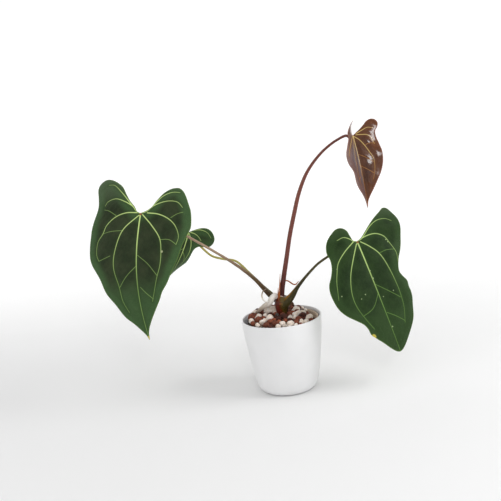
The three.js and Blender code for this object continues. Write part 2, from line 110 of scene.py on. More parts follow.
# Kinds of stone: the piece they make, how deep the skin's grain and pits are, in
# millimetres, how fine they are, whether each stone is turned at random, and the
# shapes to draw from, with the cuts on them and how near those come to the middle
STONE_KINDS = {
    "clay": {
        "piece": "clay_balls", "roughening": 0.25, "grain": 160.0, "pit_depth": 0.12,
        "pit_grain": 700.0, "turn": 1.0, "shapes": 4, "seed": 10, "cuts": 4,
        "nearness": (0.9, 1.05),
    },
    "pumice": {
        "piece": "pumice_stones", "roughening": 1.0, "grain": 190.0, "pit_depth": 0.45,
        "pit_grain": 420.0, "turn": 1.0, "shapes": 5, "seed": 20, "cuts": 11,
        "nearness": (0.6, 0.95),
    },
    "lava": {
        "piece": "lava_stones", "roughening": 1.1, "grain": 240.0, "pit_depth": 0.6,
        "pit_grain": 480.0, "turn": 1.0, "shapes": 5, "seed": 30, "cuts": 10,
        "nearness": (0.7, 1.0),
    },
    "holed": {
        "piece": "holed_stone", "roughening": 0.7, "grain": 200.0, "pit_depth": 0.3,
        "pit_grain": 520.0, "turn": 0.0, "shapes": 1, "seed": 37, "cuts": 5,
        "nearness": (0.85, 1.05), "dent": (0.15, -1, 0.45),
    },
    "wedge": {
        "piece": "pale_wedge", "roughening": 0.8, "grain": 130.0, "pit_depth": 0.35,
        "pit_grain": 420.0, "turn": 0.0, "shapes": 1, "seed": 41, "cuts": 7,
        "nearness": (0.62, 0.95), "stretch": (1.2, 0.8, 0.85),
    },
    "bark": {
        "piece": "bark_piece", "roughening": 0.6, "grain": 200.0, "pit_depth": 0.0,
        "pit_grain": 400.0, "turn": 1.0, "shapes": 1, "seed": 51, "cuts": 6,
        "nearness": (0.6, 0.9), "stretch": (1.2, 0.8, 0.5),
    },
}

# Shapes of stones and grains, and the draw of the stones that fill the rest
PEBBLE = {"softness": 14, "furthest": 1.1}
DENT = {"depth": 0.5, "half_angle": 24, "soft_angle": 2}
CRUMB_REACH = (0.65, 1.1)
ANY_TURN = (6.28, 6.28, 6.28)
HIGHEST_DRAW = 99
FILL = {
    "seed": 20, "tries": 2600, "smallest": 7.5, "largest": 11.5, "spacing": 0.84,
    "clay": 0.4, "pumice": 0.62,
}
CROWN_CLEARANCE = 8

# The stones that show most: kind, x, y, diameter, height over width
PLACED_STONES = [
    ("clay", -51, 0, 13.5, 1), ("clay", -40, -15, 12.6, 0.95), ("pumice", -38, 3, 9.4, 0.9),
    ("clay", -34, 20, 9.1, 0.9), ("clay", -31, -10, 7.8, 0.9), ("clay", -50, -27, 8.2, 1),
    ("pumice", -42, -35, 7.6, 1), ("pumice", -34, -27, 9.5, 1), ("clay", -28, -40, 11.2, 0.9),
    ("clay", -13, -39, 12.7, 0.9), ("pumice", -21, -17, 12.9, 1), ("pumice", -27, 1, 9, 0.9),
    ("wedge", -17, 17, 22, 0.85), ("pumice", -1, -40, 9.8, 1), ("clay", -6, -32, 7.7, 0.9),
    ("lava", -10, -17, 8.9, 0.9), ("lava", 3, -17, 12.6, 0.9), ("clay", 5, -29, 8.4, 0.9),
    ("pumice", 13, -42, 11.9, 0.9), ("pumice", 14, -20, 10.3, 0.9), ("pumice", 24, -6, 10.4, 0.9),
    ("clay", 14, -4, 9.3, 0.9), ("clay", 23, -36, 10.2, 0.9), ("holed", 35, -14, 13.9, 0.9),
    ("pumice", 48, -8, 11.9, 0.8), ("pumice", 38, 15, 11.4, 0.9), ("pumice", 28, 26, 13.4, 0.8),
    ("clay", 20, 35, 8.9, 0.9), ("pumice", 44, 29, 7.3, 0.9), ("pumice", 40, 37, 6.2, 0.9),
    ("bark", 22, 46, 12, 1), ("pumice", -44, 24, 11, 0.9), ("lava", -30, 36, 12, 0.9),
    ("pumice", 2, 40, 12, 0.9),
]

# Crown, stalks, bracts and roots: centre lines and radii, with the facets round each stem,
# the step between its rings and its unevenness, and how far a sheath reaches round and turns
CROWN = {
    "path": [(1, 4, 96), (1, 4, 118), (2, 4, 136), (3.2, 4, 146), (4, 4, 154), (6, 4, 163)],
    "radii": [6, 7, 8, 9.4, 13.4, 9.4],
    "sides": 48, "step": 1.2, "unevenness": 1.6, "grain": 90.0,
}
# A stalk's ridge colour is a painted highlight on its upward side near the base.
STALKS = {
    "left": {
        "path": [
            (-2, 8, 152), (-14.5, 12, 163.7), (-36, 6, 195), (-54, 1, 215), (-72, -3, 232),
            (-102, -9, 257), (-141, -14, 287), (-178, -18, 315),
        ],
        "radii": [4.4, 4, 3.2, 2.6, 2.2, 2.1, 2, 2, 2.1, 2.6],
        "colours": [(48, 32, 18), (92, 70, 42), (168, 142, 118), (168, 128, 110)],
        "ridge": (88, 72, 34),
    },
    "back": {
        "path": [
            (4.5, 14, 149.5), (-6.5, 19, 159.5), (-25, 23, 179), (-45, 27, 203), (-68, 35, 227),
            (-90, 42, 232), (-109, 50, 238), (-125, 58, 253), (-138, 59, 270),
        ],
        "radii": [3.4, 2.8, 2.3, 2, 1.9, 1.9, 1.9, 1.9, 2.3],
        "colours": [(54, 40, 20), (128, 118, 62), (186, 176, 96), (172, 150, 70)],
        "ridge": (96, 84, 36),
    },
    "right": {
        "path": [
            (5, 0, 147), (12.5, -2, 154), (21.5, -3, 162.8), (31.5, -3, 175.5),
            (44, -2.5, 189), (56.3, -2, 200.8), (71, -1, 213), (92, 0, 225),
            (114, 0, 238), (129, -4, 245),
        ],
        "radii": [9, 6.4, 3.3, 2.5, 2.2, 2.1, 2.1, 2.1, 2.1, 2.6],
        "colours": [(58, 50, 12), (52, 46, 14), (84, 76, 44), (96, 84, 52)],
        "ridge": (164, 112, 26),
    },
    "young": {
        "path": [
            (3.5, 4, 150), (5.5, 4, 170), (11, 4, 194), (19, 4, 226), (29, 5, 266),
            (39, 5, 299), (52, 6, 337), (67, 6, 367), (83, 7, 387), (102, 8, 404),
            (124, 10, 417), (141, 11, 422),
        ],
        "radii": [5, 4.4, 4, 3.8, 3.7, 3.6, 3.2, 2.7, 2.3, 2.1, 2.4],
        "colours": [(66, 20, 14), (106, 58, 50), (120, 68, 56), (104, 58, 50)],
        "ridge": (92, 38, 34),
    },
}
TALL_BRACT = {
    "path": [(1.2, -3.2, 157), (1.7, -3.4, 172), (4, -2, 188), (5.8, -2, 204)],
    "radii": [1.7, 1.6, 1.3, 0.5],
    "sweep": 200, "turn": 60,
}
SHORT_BRACT = {
    "path": [(-0.6, -4.6, 158), (-1.3, -6.6, 163), (-1.1, -7.4, 170), (-0.3, -6.6, 181)],
    "radii": [1.3, 1.4, 1.2, 0.5],
    "sweep": 190, "turn": -50,
}
COLLAR = {
    "path": [(5.2, 4, 158), (5.4, 4, 161.5), (5.8, 4, 164.5)],
    "radii": [9.8, 8.8, 6.4],
    "sweep": 330, "turn": 0,
}
BRACT_THREAD = {
    "path": [
        (14, -0.2, 190), (17, -1, 189.8), (21, -1, 186.8), (26, -1, 182.6),
        (30.5, -1, 182), (33.5, -1, 184.7), (36, -1, 187),
    ],
    "radii": [1.1, 1.3, 1.2, 1, 0.5],
    "sides": 12, "step": 0.7, "unevenness": 0.2, "grain": 600.0,
}
AERIAL_ROOT = {
    "path": [
        (-2.5, 4, 158), (-6, 1.6, 165.5), (-11, -1, 164), (-18, -1.6, 154.5), (-27, 4, 148.5),
        (-35, 11, 141.5), (-42.5, 17.5, 132.3), (-45, 19, 120),
    ],
    "radii": [3.8, 5, 5.3, 4.8, 3.9, 3.1, 2.6, 2.2],
    "sides": 32, "step": 0.9, "unevenness": 0.9, "grain": 150.0,
}
ROOT_LOOP = {
    "path": [
        (-20, -7.3, 158), (-27, -5.5, 161), (-29.5, -4, 169), (-27, -2, 176), (-21.5, -2.5, 180),
    ],
    "radii": [1.4, 1.3, 1.2, 1.1, 0.8],
    "sides": 20, "step": 0.7, "unevenness": 0.3, "grain": 300.0,
}

# Blades. In the flat leaf x runs across, to the right as the face is seen, and y runs
# down the midrib from the sinus. Veins are drawn in the same flat millimetres.
LEAVES = {
    "left": {
        "sinus": (-211, -30, 337), "yaw": -12, "tilt": 24, "spin": 0, "length": 209,
        "sway": -10, "fold": (7, 7), "lobe_fold": (0, 0), "cup": (0.0052, 0.005),
        "bend": 0.0021, "lobe_bend": 0.003, "twist": 0, "half_width": 88,
        "wave": (2, 2), "wave_length": 62,
        "left_margin": [
            (0, 0), (-6, -2), (-12, -11), (-22, -22), (-30, -33), (-40, -48), (-52, -58),
            (-66, -66), (-78, -69), (-86, -65), (-89, -55), (-86, -38), (-83, -16),
            (-84, 5), (-88, 25), (-90, 42), (-87, 57), (-80, 80), (-66, 105),
            (-55, 129), (-43, 146), (-30, 168), (-17, 181), (-9, 191),
            (-3.5, 199), (-1.5, 204), (0, 209),
        ],
        "right_margin": [
            (0, 0), (10, -3), (18, -8), (25, -18), (34, -29), (42, -35), (50, -38),
            (59, -38), (66, -33), (72, -24), (79, -9), (84, 3), (87, 20), (87, 30),
            (82, 43), (76, 58), (69, 79), (61, 95), (50, 117), (40, 131), (34, 143),
            (24, 159), (13, 176), (5, 190), (2, 198), (1, 204), (0, 209),
        ],
        "veins": [
            [(-3, 4), (-27, 27), (-37, 58), (-39, 87), (-31, 119), (-28, 142), (-21, 161)],
            [(-6, -1), (-25, -2), (-42, 3), (-57, 16), (-63, 29), (-72, 42), (-71, 63), (-66, 74)],
            [(-2, 0), (-8, -4), (-15, -12), (-33, -23), (-50, -29), (-65, -25), (-68, -19)],
            [(-15, -12), (-24, -22), (-40, -39), (-57, -54), (-68, -56)],
            [(4, 3), (23, 23), (39, 46), (42, 68), (40, 89), (35, 105), (28, 128), (22, 145)],
            [(12, 1), (32, 5), (50, 14), (62, 26), (69, 44), (66, 57)],
            [(2, 0), (11, -2), (20, -9), (33, -14), (47, -16), (61, -13), (70, -4)],
            [(19, -8), (26, -17), (38, -27), (51, -31), (62, -30)],
        ],
        "cross_veins": [
            [(2, 69), (20, 84), (35, 104)], [(-1, 87), (-17, 102), (-30, 119)],
            [(-27, 27), (-48, 27), (-63, 29)], [(39, 47), (54, 48), (66, 56)],
            [(-42, 1), (-58, -9), (-67, -12)], [(-66, 74), (-56, 71), (-45, 67)],
            [(53, 12), (64, 6), (72, 4)], [(5, 121), (15, 132), (24, 141)],
        ],
    },
    "right": {
        "sinus": (139, -15, 247), "yaw": 6, "tilt": 26, "spin": 13.5, "length": 198,
        "sway": -2, "fold": (8, 3), "lobe_fold": (0, 0), "cup": (0.0048, 0.0044),
        "bend": 0.002, "lobe_bend": 0.003, "twist": 0.0018, "half_width": 80,
        "wave": (2.2, 3.4), "wave_length": 58,
        "left_margin": [
            (0, 0), (-6, -3), (-8, -12), (-10, -24), (-17, -31), (-26, -32), (-38, -26),
            (-48, -18), (-54, -8), (-57, 3), (-56, 14), (-59, 28), (-66, 41), (-74, 52),
            (-78, 64), (-78, 80), (-75, 95), (-68, 108), (-58, 119), (-47, 131),
            (-43, 141), (-42, 150), (-35, 160), (-27, 170), (-16, 185), (-6, 195), (0, 198),
        ],
        "right_margin": [
            (0, 0), (7, -2), (16, -8), (28, -17), (43, -27), (58, -35), (68, -40),
            (76, -37), (82, -24), (84, -8), (84, 8), (80, 23), (71, 36), (60, 50),
            (55, 62), (54, 73), (58, 82), (63, 92), (61, 103), (62, 113), (63, 126),
            (59, 141), (50, 157), (38, 171), (27, 182), (15, 192), (6, 197), (0, 198),
        ],
        "veins": [
            [(-3, 4), (-19, 26), (-36, 53), (-45, 78), (-46, 101), (-41, 123), (-33, 144)],
            [(-7, -1), (-28, 10), (-46, 24), (-54, 38), (-62, 55), (-70, 80)],
            [(-1, 0), (-6, -2), (-11, -8), (-20, -14), (-32, -13)],
            [(5, 3), (17, 16), (28, 32), (35, 59), (39, 83), (39, 113), (38, 133), (29, 157)],
            [(10, -2), (21, -3), (35, -1), (48, 8), (54, 20), (59, 38), (56, 56)],
            [(1, 0), (8, -1), (16, -6), (32, -17), (47, -22), (62, -20), (71, -13)],
        ],
        "cross_veins": [
            [(1, 78), (20, 97), (37, 114)], [(28, 32), (42, 31), (58, 34)],
            [(1, 92), (-20, 112), (-42, 118)], [(2, 128), (16, 140), (30, 154)],
        ],
    },
    "young": {
        "sinus": (150, 5, 421), "yaw": 24, "tilt": 18, "spin": 0, "length": 122,
        "sway": 0, "fold": (42, 38), "lobe_fold": (1.6, 0), "cup": (0.004, 0.004),
        "bend": 0.0015, "lobe_bend": -0.002, "twist": 0, "half_width": 44,
        "wave": (0.8, 1), "wave_length": 46,
        "left_margin": [
            (0, 0), (-5, -5), (-10, -11), (-16, -17), (-22, -20), (-28, -19), (-31, -14),
            (-29, -6), (-25, 2), (-28, 9), (-35, 17), (-41, 25), (-47, 33), (-51, 41),
            (-52, 48), (-48, 54), (-42, 58), (-36, 64), (-34, 72), (-33, 81), (-28, 90),
            (-17, 99), (-7, 109), (0, 122),
        ],
        "right_margin": [
            (0, 0), (7, -4), (14, -8), (21, -13), (27, -18), (34, -20), (40, -18),
            (44, -11), (42, -4), (37, 2), (36, 10), (38, 22), (40, 36), (38, 52),
            (32, 67), (24, 79), (15, 92), (7, 103), (2, 112), (0, 122),
        ],
        "veins": [
            [(1, 1), (9, 10), (15, 21), (20, 33), (24, 45), (23, 60), (17, 78)],
            [(5, 0), (14, 2), (23, 5), (28, 11), (31, 22)],
            [(6, -2), (17, -5), (26, -7), (34, -4)],
            [(-3, 1), (-15, 9), (-29, 22), (-42, 38)],
            [(-1, 3), (-9, 16), (-15, 32), (-19, 50), (-20, 68), (-16, 84)],
            [(-4, -2), (-13, -8), (-21, -12), (-26, -12)],
        ],
        "cross_veins": [
            [(1, 32), (12, 40), (23, 50)], [(1, 52), (11, 60), (20, 68)],
            [(15, 21), (22, 19), (31, 21)], [(0, 60), (-10, 70), (-19, 74)],
        ],
    },
    "back": {
        "sinus": (-144, 45, 285.5), "yaw": 2, "tilt": 22, "spin": -30, "length": 82,
        "sway": 4, "fold": (4, -8), "lobe_fold": (0, 0), "cup": (0.006, 0.015),
        "bend": 0.003, "lobe_bend": 0.002, "twist": 0.017, "half_width": 50,
        "wave": (1.2, 1), "wave_length": 40,
        "left_margin": [
            (0, 0), (-9, -8), (-21, -16), (-32, -19), (-41, -17), (-48, -10), (-50, 0),
            (-46, 12), (-41, 22), (-37, 34), (-33, 46), (-27, 57), (-18, 67), (-8, 76),
            (0, 82),
        ],
        "right_margin": [
            (0, 0), (9, -8), (21, -16), (32, -19), (41, -17), (49, -10), (51, -2),
            (49, 5), (42, 9), (34, 12), (27, 15), (22, 20), (20, 27), (21, 36), (24, 45),
            (28, 54), (24, 62), (15, 71), (6, 78), (0, 82),
        ],
        "veins": [
            [(3, -1), (11, -2), (19, 0), (26, 4)],
            [(2, 2), (9, 14), (13, 28), (14, 44), (12, 60)],
            [(5, -5), (18, -12), (32, -13), (42, -8)],
            [(-2, 2), (-11, 14), (-17, 30), (-17, 46), (-12, 62)],
            [(-4, -1), (-18, 0), (-30, 8), (-33, 22), (-30, 36)],
            [(-6, -5), (-20, -11), (-34, -12), (-42, -4)],
        ],
        "cross_veins": [[(1, 36), (7, 42), (13, 50)], [(0, 30), (-8, 36), (-16, 44)]],
    },
}
RIPPLE_PHASE = {"left": 0.6, "right": 2.4}

# Wall of a blade, the rib under its midrib, and the relief on both faces: heights with
# how far each one spreads, half widths of the veins at their start and their end, the step
# along a drawn vein, and a distance that counts as beyond every vein
BLADE_THICKNESS = 0.9
MARGIN_THINNING = {"share": 0.25, "spread": 1.5}
RIM_ROUND = 0.3
RIB = {"depth": 1.5, "half_width": 3, "fading": 0.8}
SIDE_RIB = {"depth": 0.6, "spread": 1.4}
RIDGE = {"height": 0.3, "spread": 0.8}
CROSS_DIP = {"share": 0.25, "spread": 2.5}
QUILT = {"slant": 1.05, "spacing": 12, "depth": 0.1}
MIDRIB_HALF_WIDTH = (1.1, 0.3)
VEIN_HALF_WIDTH = (0.68, 0.25)
CROSS_HALF_WIDTH = (0.38, 0.25)
LINE_STEP = 2.0
FAR = 1e3

# Grid of a blade: points beside each vein, and how clear of others a point stands, as a
# share of the grid's spacing
FLANK = 1.0
CLEAR_OF_OUTLINE = 0.4
CLEAR_OF_PLACED = 0.6

# How a stalk ends in its blade and how uneven it is; how thin and ragged a sheath is
JOIN_DEPTH = 3.4
STALK_SINK = 0.5
STALK_BEND = 5
STALK_GRAIN = {"unevenness": 0.3, "grain": 180.0}
SHEATH = {"wall": 0.35, "across": 14, "step": 0.8, "narrowing": 0.45, "ruffle": 0.12}

# Stage: lights as name, place and size, and the middle of the plant that they face
LIGHTS = {
    "key": ((1400, -450, 1100), 1000),
    "fill": ((-1200, -700, 700), 900),
    "window": ((160, -1750, 1080), 300),
}
PLANT_MIDDLE = (0, 0, 230)
FLOOR_REACH = 1300
BACKDROP = {
    "bend_centre": (1700, 500), "bend": 500, "top": (2200, 2200), "facets": 96,
    "glow_depth": 1200,
}


def smooth_line(points, spacing):
    """Points at even spacing along a centripetal curve through the given ones."""
    knots = np.array(points, float)
    knots = np.vstack([2 * knots[0] - knots[1], knots, 2 * knots[-1] - knots[-2]])
    dense = []
    for p0, p1, p2, p3 in zip(knots, knots[1:], knots[2:], knots[3:]):
        t1 = np.linalg.norm(p1 - p0) ** 0.5
        t2 = t1 + np.linalg.norm(p2 - p1) ** 0.5
        t3 = t2 + np.linalg.norm(p3 - p2) ** 0.5
        t = np.linspace(t1, t2, 24, endpoint=False)[:, None]
        a1 = ((t1 - t) * p0 + t * p1) / t1
        a2 = ((t2 - t) * p1 + (t - t1) * p2) / (t2 - t1)
        a3 = ((t3 - t) * p2 + (t - t2) * p3) / (t3 - t2)
        b1 = ((t2 - t) * a1 + t * a2) / t2
        b2 = ((t3 - t) * a2 + (t - t1) * a3) / (t3 - t1)
        dense.append(((t2 - t) * b1 + (t - t1) * b2) / (t2 - t1))
    dense = np.vstack([*dense, knots[-2][None]])
    steps = np.linalg.norm(np.diff(dense, axis=0), axis=1)
    reach = np.concatenate([[0], np.cumsum(steps)])
    count = max(2, round(reach[-1] / spacing) + 1)
    even = np.linspace(0, reach[-1], count)
    return np.stack([np.interp(even, reach, column) for column in dense.T], axis=1)


def unit(vector):
    return np.asarray(vector, float) / np.linalg.norm(vector)


def tone(red, green, blue):
    """Linear colour of an sRGB colour given in steps of 0 to 255."""
    def linear(step):
        value = step / 255
        return value / 12.92 if value <= 0.04045 else ((value + 0.055) / 1.055) ** 2.4
    return (linear(red), linear(green), linear(blue), 1.0)


class Socket:
    """A node's output. Arithmetic on it adds Math nodes."""

    def __init__(self, graph, output):
        self.graph = graph
        self.output = output

    def __add__(self, other):
        return self.graph.math("ADD", self, other)

    def __radd__(self, other):
        return self.graph.math("ADD", other, self)

    def __sub__(self, other):
        return self.graph.math("SUBTRACT", self, other)

    def __rsub__(self, other):
        return self.graph.math("SUBTRACT", other, self)

    def __mul__(self, other):
        return self.graph.math("MULTIPLY", self, other)

    def __rmul__(self, other):
        return self.graph.math("MULTIPLY", other, self)


class Graph:
    """Adds nodes to a node tree."""

    def __init__(self, tree):
        self.tree = tree

    def node(self, kind, settings=None, sockets=None, output=0):
        """Adds a node: settings first, then the values or links of its sockets."""
        made = self.tree.nodes.new(kind)
        for name, value in (settings or {}).items():
            if name == "stops":
                self.set_stops(made.color_ramp, value)
            else:
                setattr(made, name, value)
        for key, value in (sockets or {}).items():
            target = self.find(made.inputs, key)
            if isinstance(value, Socket):
                self.tree.links.new(value.output, target)
            else:
                target.default_value = value
        return Socket(self, self.find(made.outputs, output))

    @staticmethod
    def find(sockets, key):
        if isinstance(key, int):
            return sockets[key]
        exact = [socket for socket in sockets if socket.identifier == key]
        return exact[0] if exact else sockets[key]

    @staticmethod
    def set_stops(ramp, stops):
        while len(ramp.elements) < len(stops):
            ramp.elements.new(1.0)
        for element, (place, colour) in zip(ramp.elements, stops):
            element.position = place
            element.color = colour

    def math(self, operation, *values):
        sockets = dict(enumerate(values))
        return self.node("ShaderNodeMath", {"operation": operation}, sockets)

    def vector_math(self, operation, sockets, output="Vector"):
        return self.node("ShaderNodeVectorMath", {"operation": operation}, sockets, output)

    def along_axis(self, axis, vector):
        return self.node("ShaderNodeSeparateXYZ", None, {"Vector": vector}, axis)

    def highest(self, first, second):
        return self.math("MAXIMUM", first, second)

    def between(self, value, low, high):
        """0 at low and 1 at high, with soft ends; low may be above high."""
        return self.node(
            "ShaderNodeMapRange", {"interpolation_type": "SMOOTHSTEP"},
            {"Value": value, "From Min": low, "From Max": high},
        )

    def noise(self, place, scale, detail=3.0):
        sockets = {"Vector": place, "Scale": scale, "Detail": detail, "Roughness": 0.55}
        return self.node("ShaderNodeTexNoise", None, sockets)

    def cells(self, place, scale, feature="F1"):
        sockets = {"Vector": place, "Scale": scale}
        return self.node("ShaderNodeTexVoronoi", {"feature": feature}, sockets)


class Finish(Graph):
    """A material and the helpers that its colours and bumps are mixed with."""

    def __init__(self, name):
        self.material = bpy.data.materials.new(name)
        self.material.use_nodes = True
        super().__init__(self.material.node_tree)
        self.shader = self.tree.nodes["Principled BSDF"]

    def attribute(self, name, output="Fac"):
        return self.node("ShaderNodeAttribute", {"attribute_name": name}, None, output)

    def object_place(self):
        return self.node("ShaderNodeTexCoord", None, None, "Object")

    def stretched(self, place, scale):
        return self.node("ShaderNodeMapping", None, {"Vector": place, "Scale": scale})

    def mix(self, factor, first, second):
        """The first colour at 0 and the second at 1."""
        sockets = {"Factor_Float": factor, "A_Color": first, "B_Color": second}
        return self.node("ShaderNodeMix", {"data_type": "RGBA"}, sockets, "Result_Color")

    def ramp(self, value, stops):
        return self.node("ShaderNodeValToRGB", {"stops": stops}, {"Fac": value})

    def bump(self, height, depth, under=None):
        """Normal with the height laid over it, depth metres deep for a height of 1."""
        sockets = {"Height": height, "Distance": depth, "Strength": 1.0}
        if under:
            sockets["Normal"] = under
        return self.node("ShaderNodeBump", None, sockets)

    def surface(self, **sockets):
        """Sets or links the shader's sockets, named with _ for a space."""
        for key, value in sockets.items():
            target = self.shader.inputs[key.replace("_", " ")]
            if isinstance(value, Socket):
                self.tree.links.new(value.output, target)
            else:
                target.default_value = value
        return self.material


class Recipe(Graph):
    """A Geometry Nodes tree with named inputs."""

    def __init__(self, name, inputs):
        tree = bpy.data.node_groups.new(name, "GeometryNodeTree")
        super().__init__(tree)
        sockets = tree.interface
        sockets.new_socket("Geometry", in_out="INPUT", socket_type="NodeSocketGeometry")
        for label, kind in inputs.items():
            sockets.new_socket(label, in_out="INPUT", socket_type="NodeSocket" + kind)
        sockets.new_socket("Material", in_out="INPUT", socket_type="NodeSocketMaterial")
        sockets.new_socket("Geometry", in_out="OUTPUT", socket_type="NodeSocketGeometry")
        self.entry = tree.nodes.new("NodeGroupInput")

    def given(self, label):
        return Socket(self, self.entry.outputs[label])

    def named(self, name):
        return self.node("GeometryNodeInputNamedAttribute", None, {"Name": name})

    def store(self, shape, name, value):
        sockets = {"Geometry": shape, "Name": name, "Value": value}
        return self.node("GeometryNodeStoreNamedAttribute", None, sockets)

    def push_out(self, shape, amount):
        """Moves each point along its normal."""
        normal = self.node("GeometryNodeInputNormal")
        offset = self.vector_math("SCALE", {0: normal, "Scale": amount})
        return self.node("GeometryNodeSetPosition", None, {"Geometry": shape, "Offset": offset})

    def finish(self, shape):
        shape = self.node("GeometryNodeSetShadeSmooth", None, {"Geometry": shape})
        shape = self.node("GeometryNodeRealizeInstances", None, {"Geometry": shape})
        sockets = {"Geometry": shape, "Material": self.given("Material")}
        shape = self.node("GeometryNodeSetMaterial", None, sockets)
        end = self.tree.nodes.new("NodeGroupOutput")
        self.tree.links.new(shape.output, end.inputs["Geometry"])
        return self

    def grow(self, obj, **values):
        """Runs the tree on an object and keeps the result as the object's plain mesh."""
        modifier = obj.modifiers.new(self.tree.name, "NODES")
        modifier.node_group = self.tree
        for item in self.tree.interface.items_tree:
            label = item.name.replace(" ", "_").lower()
            if item.in_out == "INPUT" and label in values:
                modifier[item.identifier] = values[label]
        scene = bpy.context.evaluated_depsgraph_get()
        grown = bpy.data.meshes.new_from_object(obj.evaluated_get(scene), depsgraph=scene)
        if not grown.polygons:
            raise RuntimeError(f"{obj.name} came out with no faces")
        obj.modifiers.clear()
        obj.data = grown
        return obj


def mesh_object(name, points, faces, edges=(), material=None):
    """A new object at the origin, from points in millimetres."""
    mesh = bpy.data.meshes.new(name)
    mesh.from_pydata((np.asarray(points) * MM).tolist(), [tuple(e) for e in edges], faces)
    mesh.validate()
    mesh.polygons.foreach_set("use_smooth", [True] * len(mesh.polygons))
    if material:
        mesh.materials.append(material)
    obj = bpy.data.objects.new(name, mesh)
    bpy.context.scene.collection.objects.link(obj)
    return obj


def set_attribute(obj, name, values):
    """Stores one number, or one vector of three, at each point."""
    values = np.asarray(values, np.float32)
    kind, field = ("FLOAT", "value") if values.ndim == 1 else ("FLOAT_VECTOR", "vector")
    attribute = obj.data.attributes.new(name, kind, "POINT")
    attribute.data.foreach_set(field, values.ravel())


def place_piece(obj, slot, *nodes):
    """Says what a finished piece rides on and stands for; the slot is not used."""
    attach(obj, BODY)
    if nodes:
        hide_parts(*nodes)
    return obj


# Leaf surface

def leaf_axes(leaf):
    """Down the midrib, out of the face, and to the right across it."""
    yaw, tilt, spin = (math.radians(leaf[key]) for key in ("yaw", "tilt", "spin"))
    level = np.array([math.cos(yaw), math.sin(yaw), 0])
    face = np.array([
        math.sin(yaw) * math.cos(tilt), -math.cos(yaw) * math.cos(tilt), math.sin(tilt),
    ])
    plumb = np.cross(level, face)
    if plumb[2] > 0:
        plumb = -plumb
    down = plumb * math.cos(spin) + level * math.sin(spin)
    return down, face, np.cross(face, down)


def on_blade(leaf, flat, lift):
    """Places in space over flat places, lifted along the blade's own normal."""
    down, face, across = leaf_axes(leaf)
    x, y = flat.T
    right_half = (x >= 0).astype(int)
    def by_side(key):
        return np.array(leaf[key], float)[right_half]
    curvature = np.where(y >= 0, leaf["bend"], leaf["lobe_bend"])
    turn = curvature * y
    swing = math.pi / leaf["length"]
    sway = np.where(
        y >= 0, leaf["sway"] * np.sin(swing * np.minimum(y, leaf["length"])),
        leaf["sway"] * swing * y,
    )
    def spread(values, axis):
        return values[:, None] * axis
    point = (
        np.array(leaf["sinus"], float) + spread(np.sin(turn) / curvature, down)
        - spread((1 - np.cos(turn)) / curvature, face) + spread(sway, across)
    )
    bent = spread(np.cos(turn), face) + spread(np.sin(turn), down)
    roll = leaf["twist"] * y
    out = np.cos(roll)[:, None] * bent + spread(np.sin(roll), across)
    right = spread(np.cos(roll), across) - np.sin(roll)[:, None] * bent
    fold = np.radians(by_side("fold") + by_side("lobe_fold") * np.maximum(0, -y))
    cup = by_side("cup")
    reach = np.abs(x)
    slope = fold - cup * reach
    outward = (np.sin(fold) - np.sin(slope)) / cup
    height = (np.cos(slope) - np.cos(fold)) / cup
    phase = np.where(x < 0, RIPPLE_PHASE["left"], RIPPLE_PHASE["right"])
    ripple = by_side("wave") * (reach / leaf["half_width"]) ** 2
    ripple = ripple * np.sin(2 * math.pi * y / leaf["wave_length"] + phase)
    sign = np.where(x < 0, -1, 1)
    on_midrib = reach < 1e-4
    mitre = math.cos(math.radians(sum(leaf["fold"]) / 2))
    total = np.where(on_midrib, lift / mitre, lift + ripple)
    lean = np.where(on_midrib, 0, slope)
    return (
        point + right * (sign * outward)[:, None] + out * height[:, None]
        + out * (total * np.cos(lean))[:, None] - right * (sign * total * np.sin(lean))[:, None]
    )


def nearest_on_lines(flat, lines, widths):
    """Distance to the nearest line, and the half width of the line that shows most."""
    distance = np.full(len(flat), FAR)
    prominence = np.full(len(flat), -FAR)
    width = np.zeros(len(flat))
    shown = np.full(len(flat), FAR)
    for line in lines:
        path = smooth_line(line, LINE_STEP)
        taper = np.linspace(widths[0], widths[1], len(path))
        for a, b, thick in zip(path, path[1:], taper):
            along = b - a
            part = np.clip((flat - a) @ along / (along @ along), 0, 1)
            gap = np.linalg.norm(flat - a - part[:, None] * along, axis=1)
            distance = np.minimum(distance, gap)
            nearer = thick - gap > prominence
            prominence[nearer] = (thick - gap)[nearer]
            width[nearer] = thick
            shown[nearer] = gap[nearer]
    return distance, shown, width


def inside_outline(flat, outline):
    """Whether each flat place lies inside the closed outline."""
    inside = np.zeros(len(flat), bool)
    x, y = flat.T
    for (x1, y1), (x2, y2) in zip(outline, np.roll(outline, -1, axis=0)):
        if y1 == y2:
            continue
        crosses = (y1 > y) != (y2 > y)
        inside ^= crosses & (x < (x2 - x1) * (y - y1) / (y2 - y1) + x1)
    return inside


def across_steps(line):
    """Unit vectors across a line, one for each of its steps."""
    along = np.diff(line, axis=0)
    across = np.stack([-along[:, 1], along[:, 0]], axis=1)
    return across / np.linalg.norm(across, axis=1)[:, None]


def clear_of(offered, placed, gap):
    """The offered flat places that stand at least a gap from every placed one."""
    tree = kdtree.KDTree(len(placed))
    for i, (x, y) in enumerate(placed):
        tree.insert((x, y, 0), i)
    tree.balance()
    near = np.array([tree.find((x, y, 0))[2] for x, y in offered])
    return offered[near > gap]


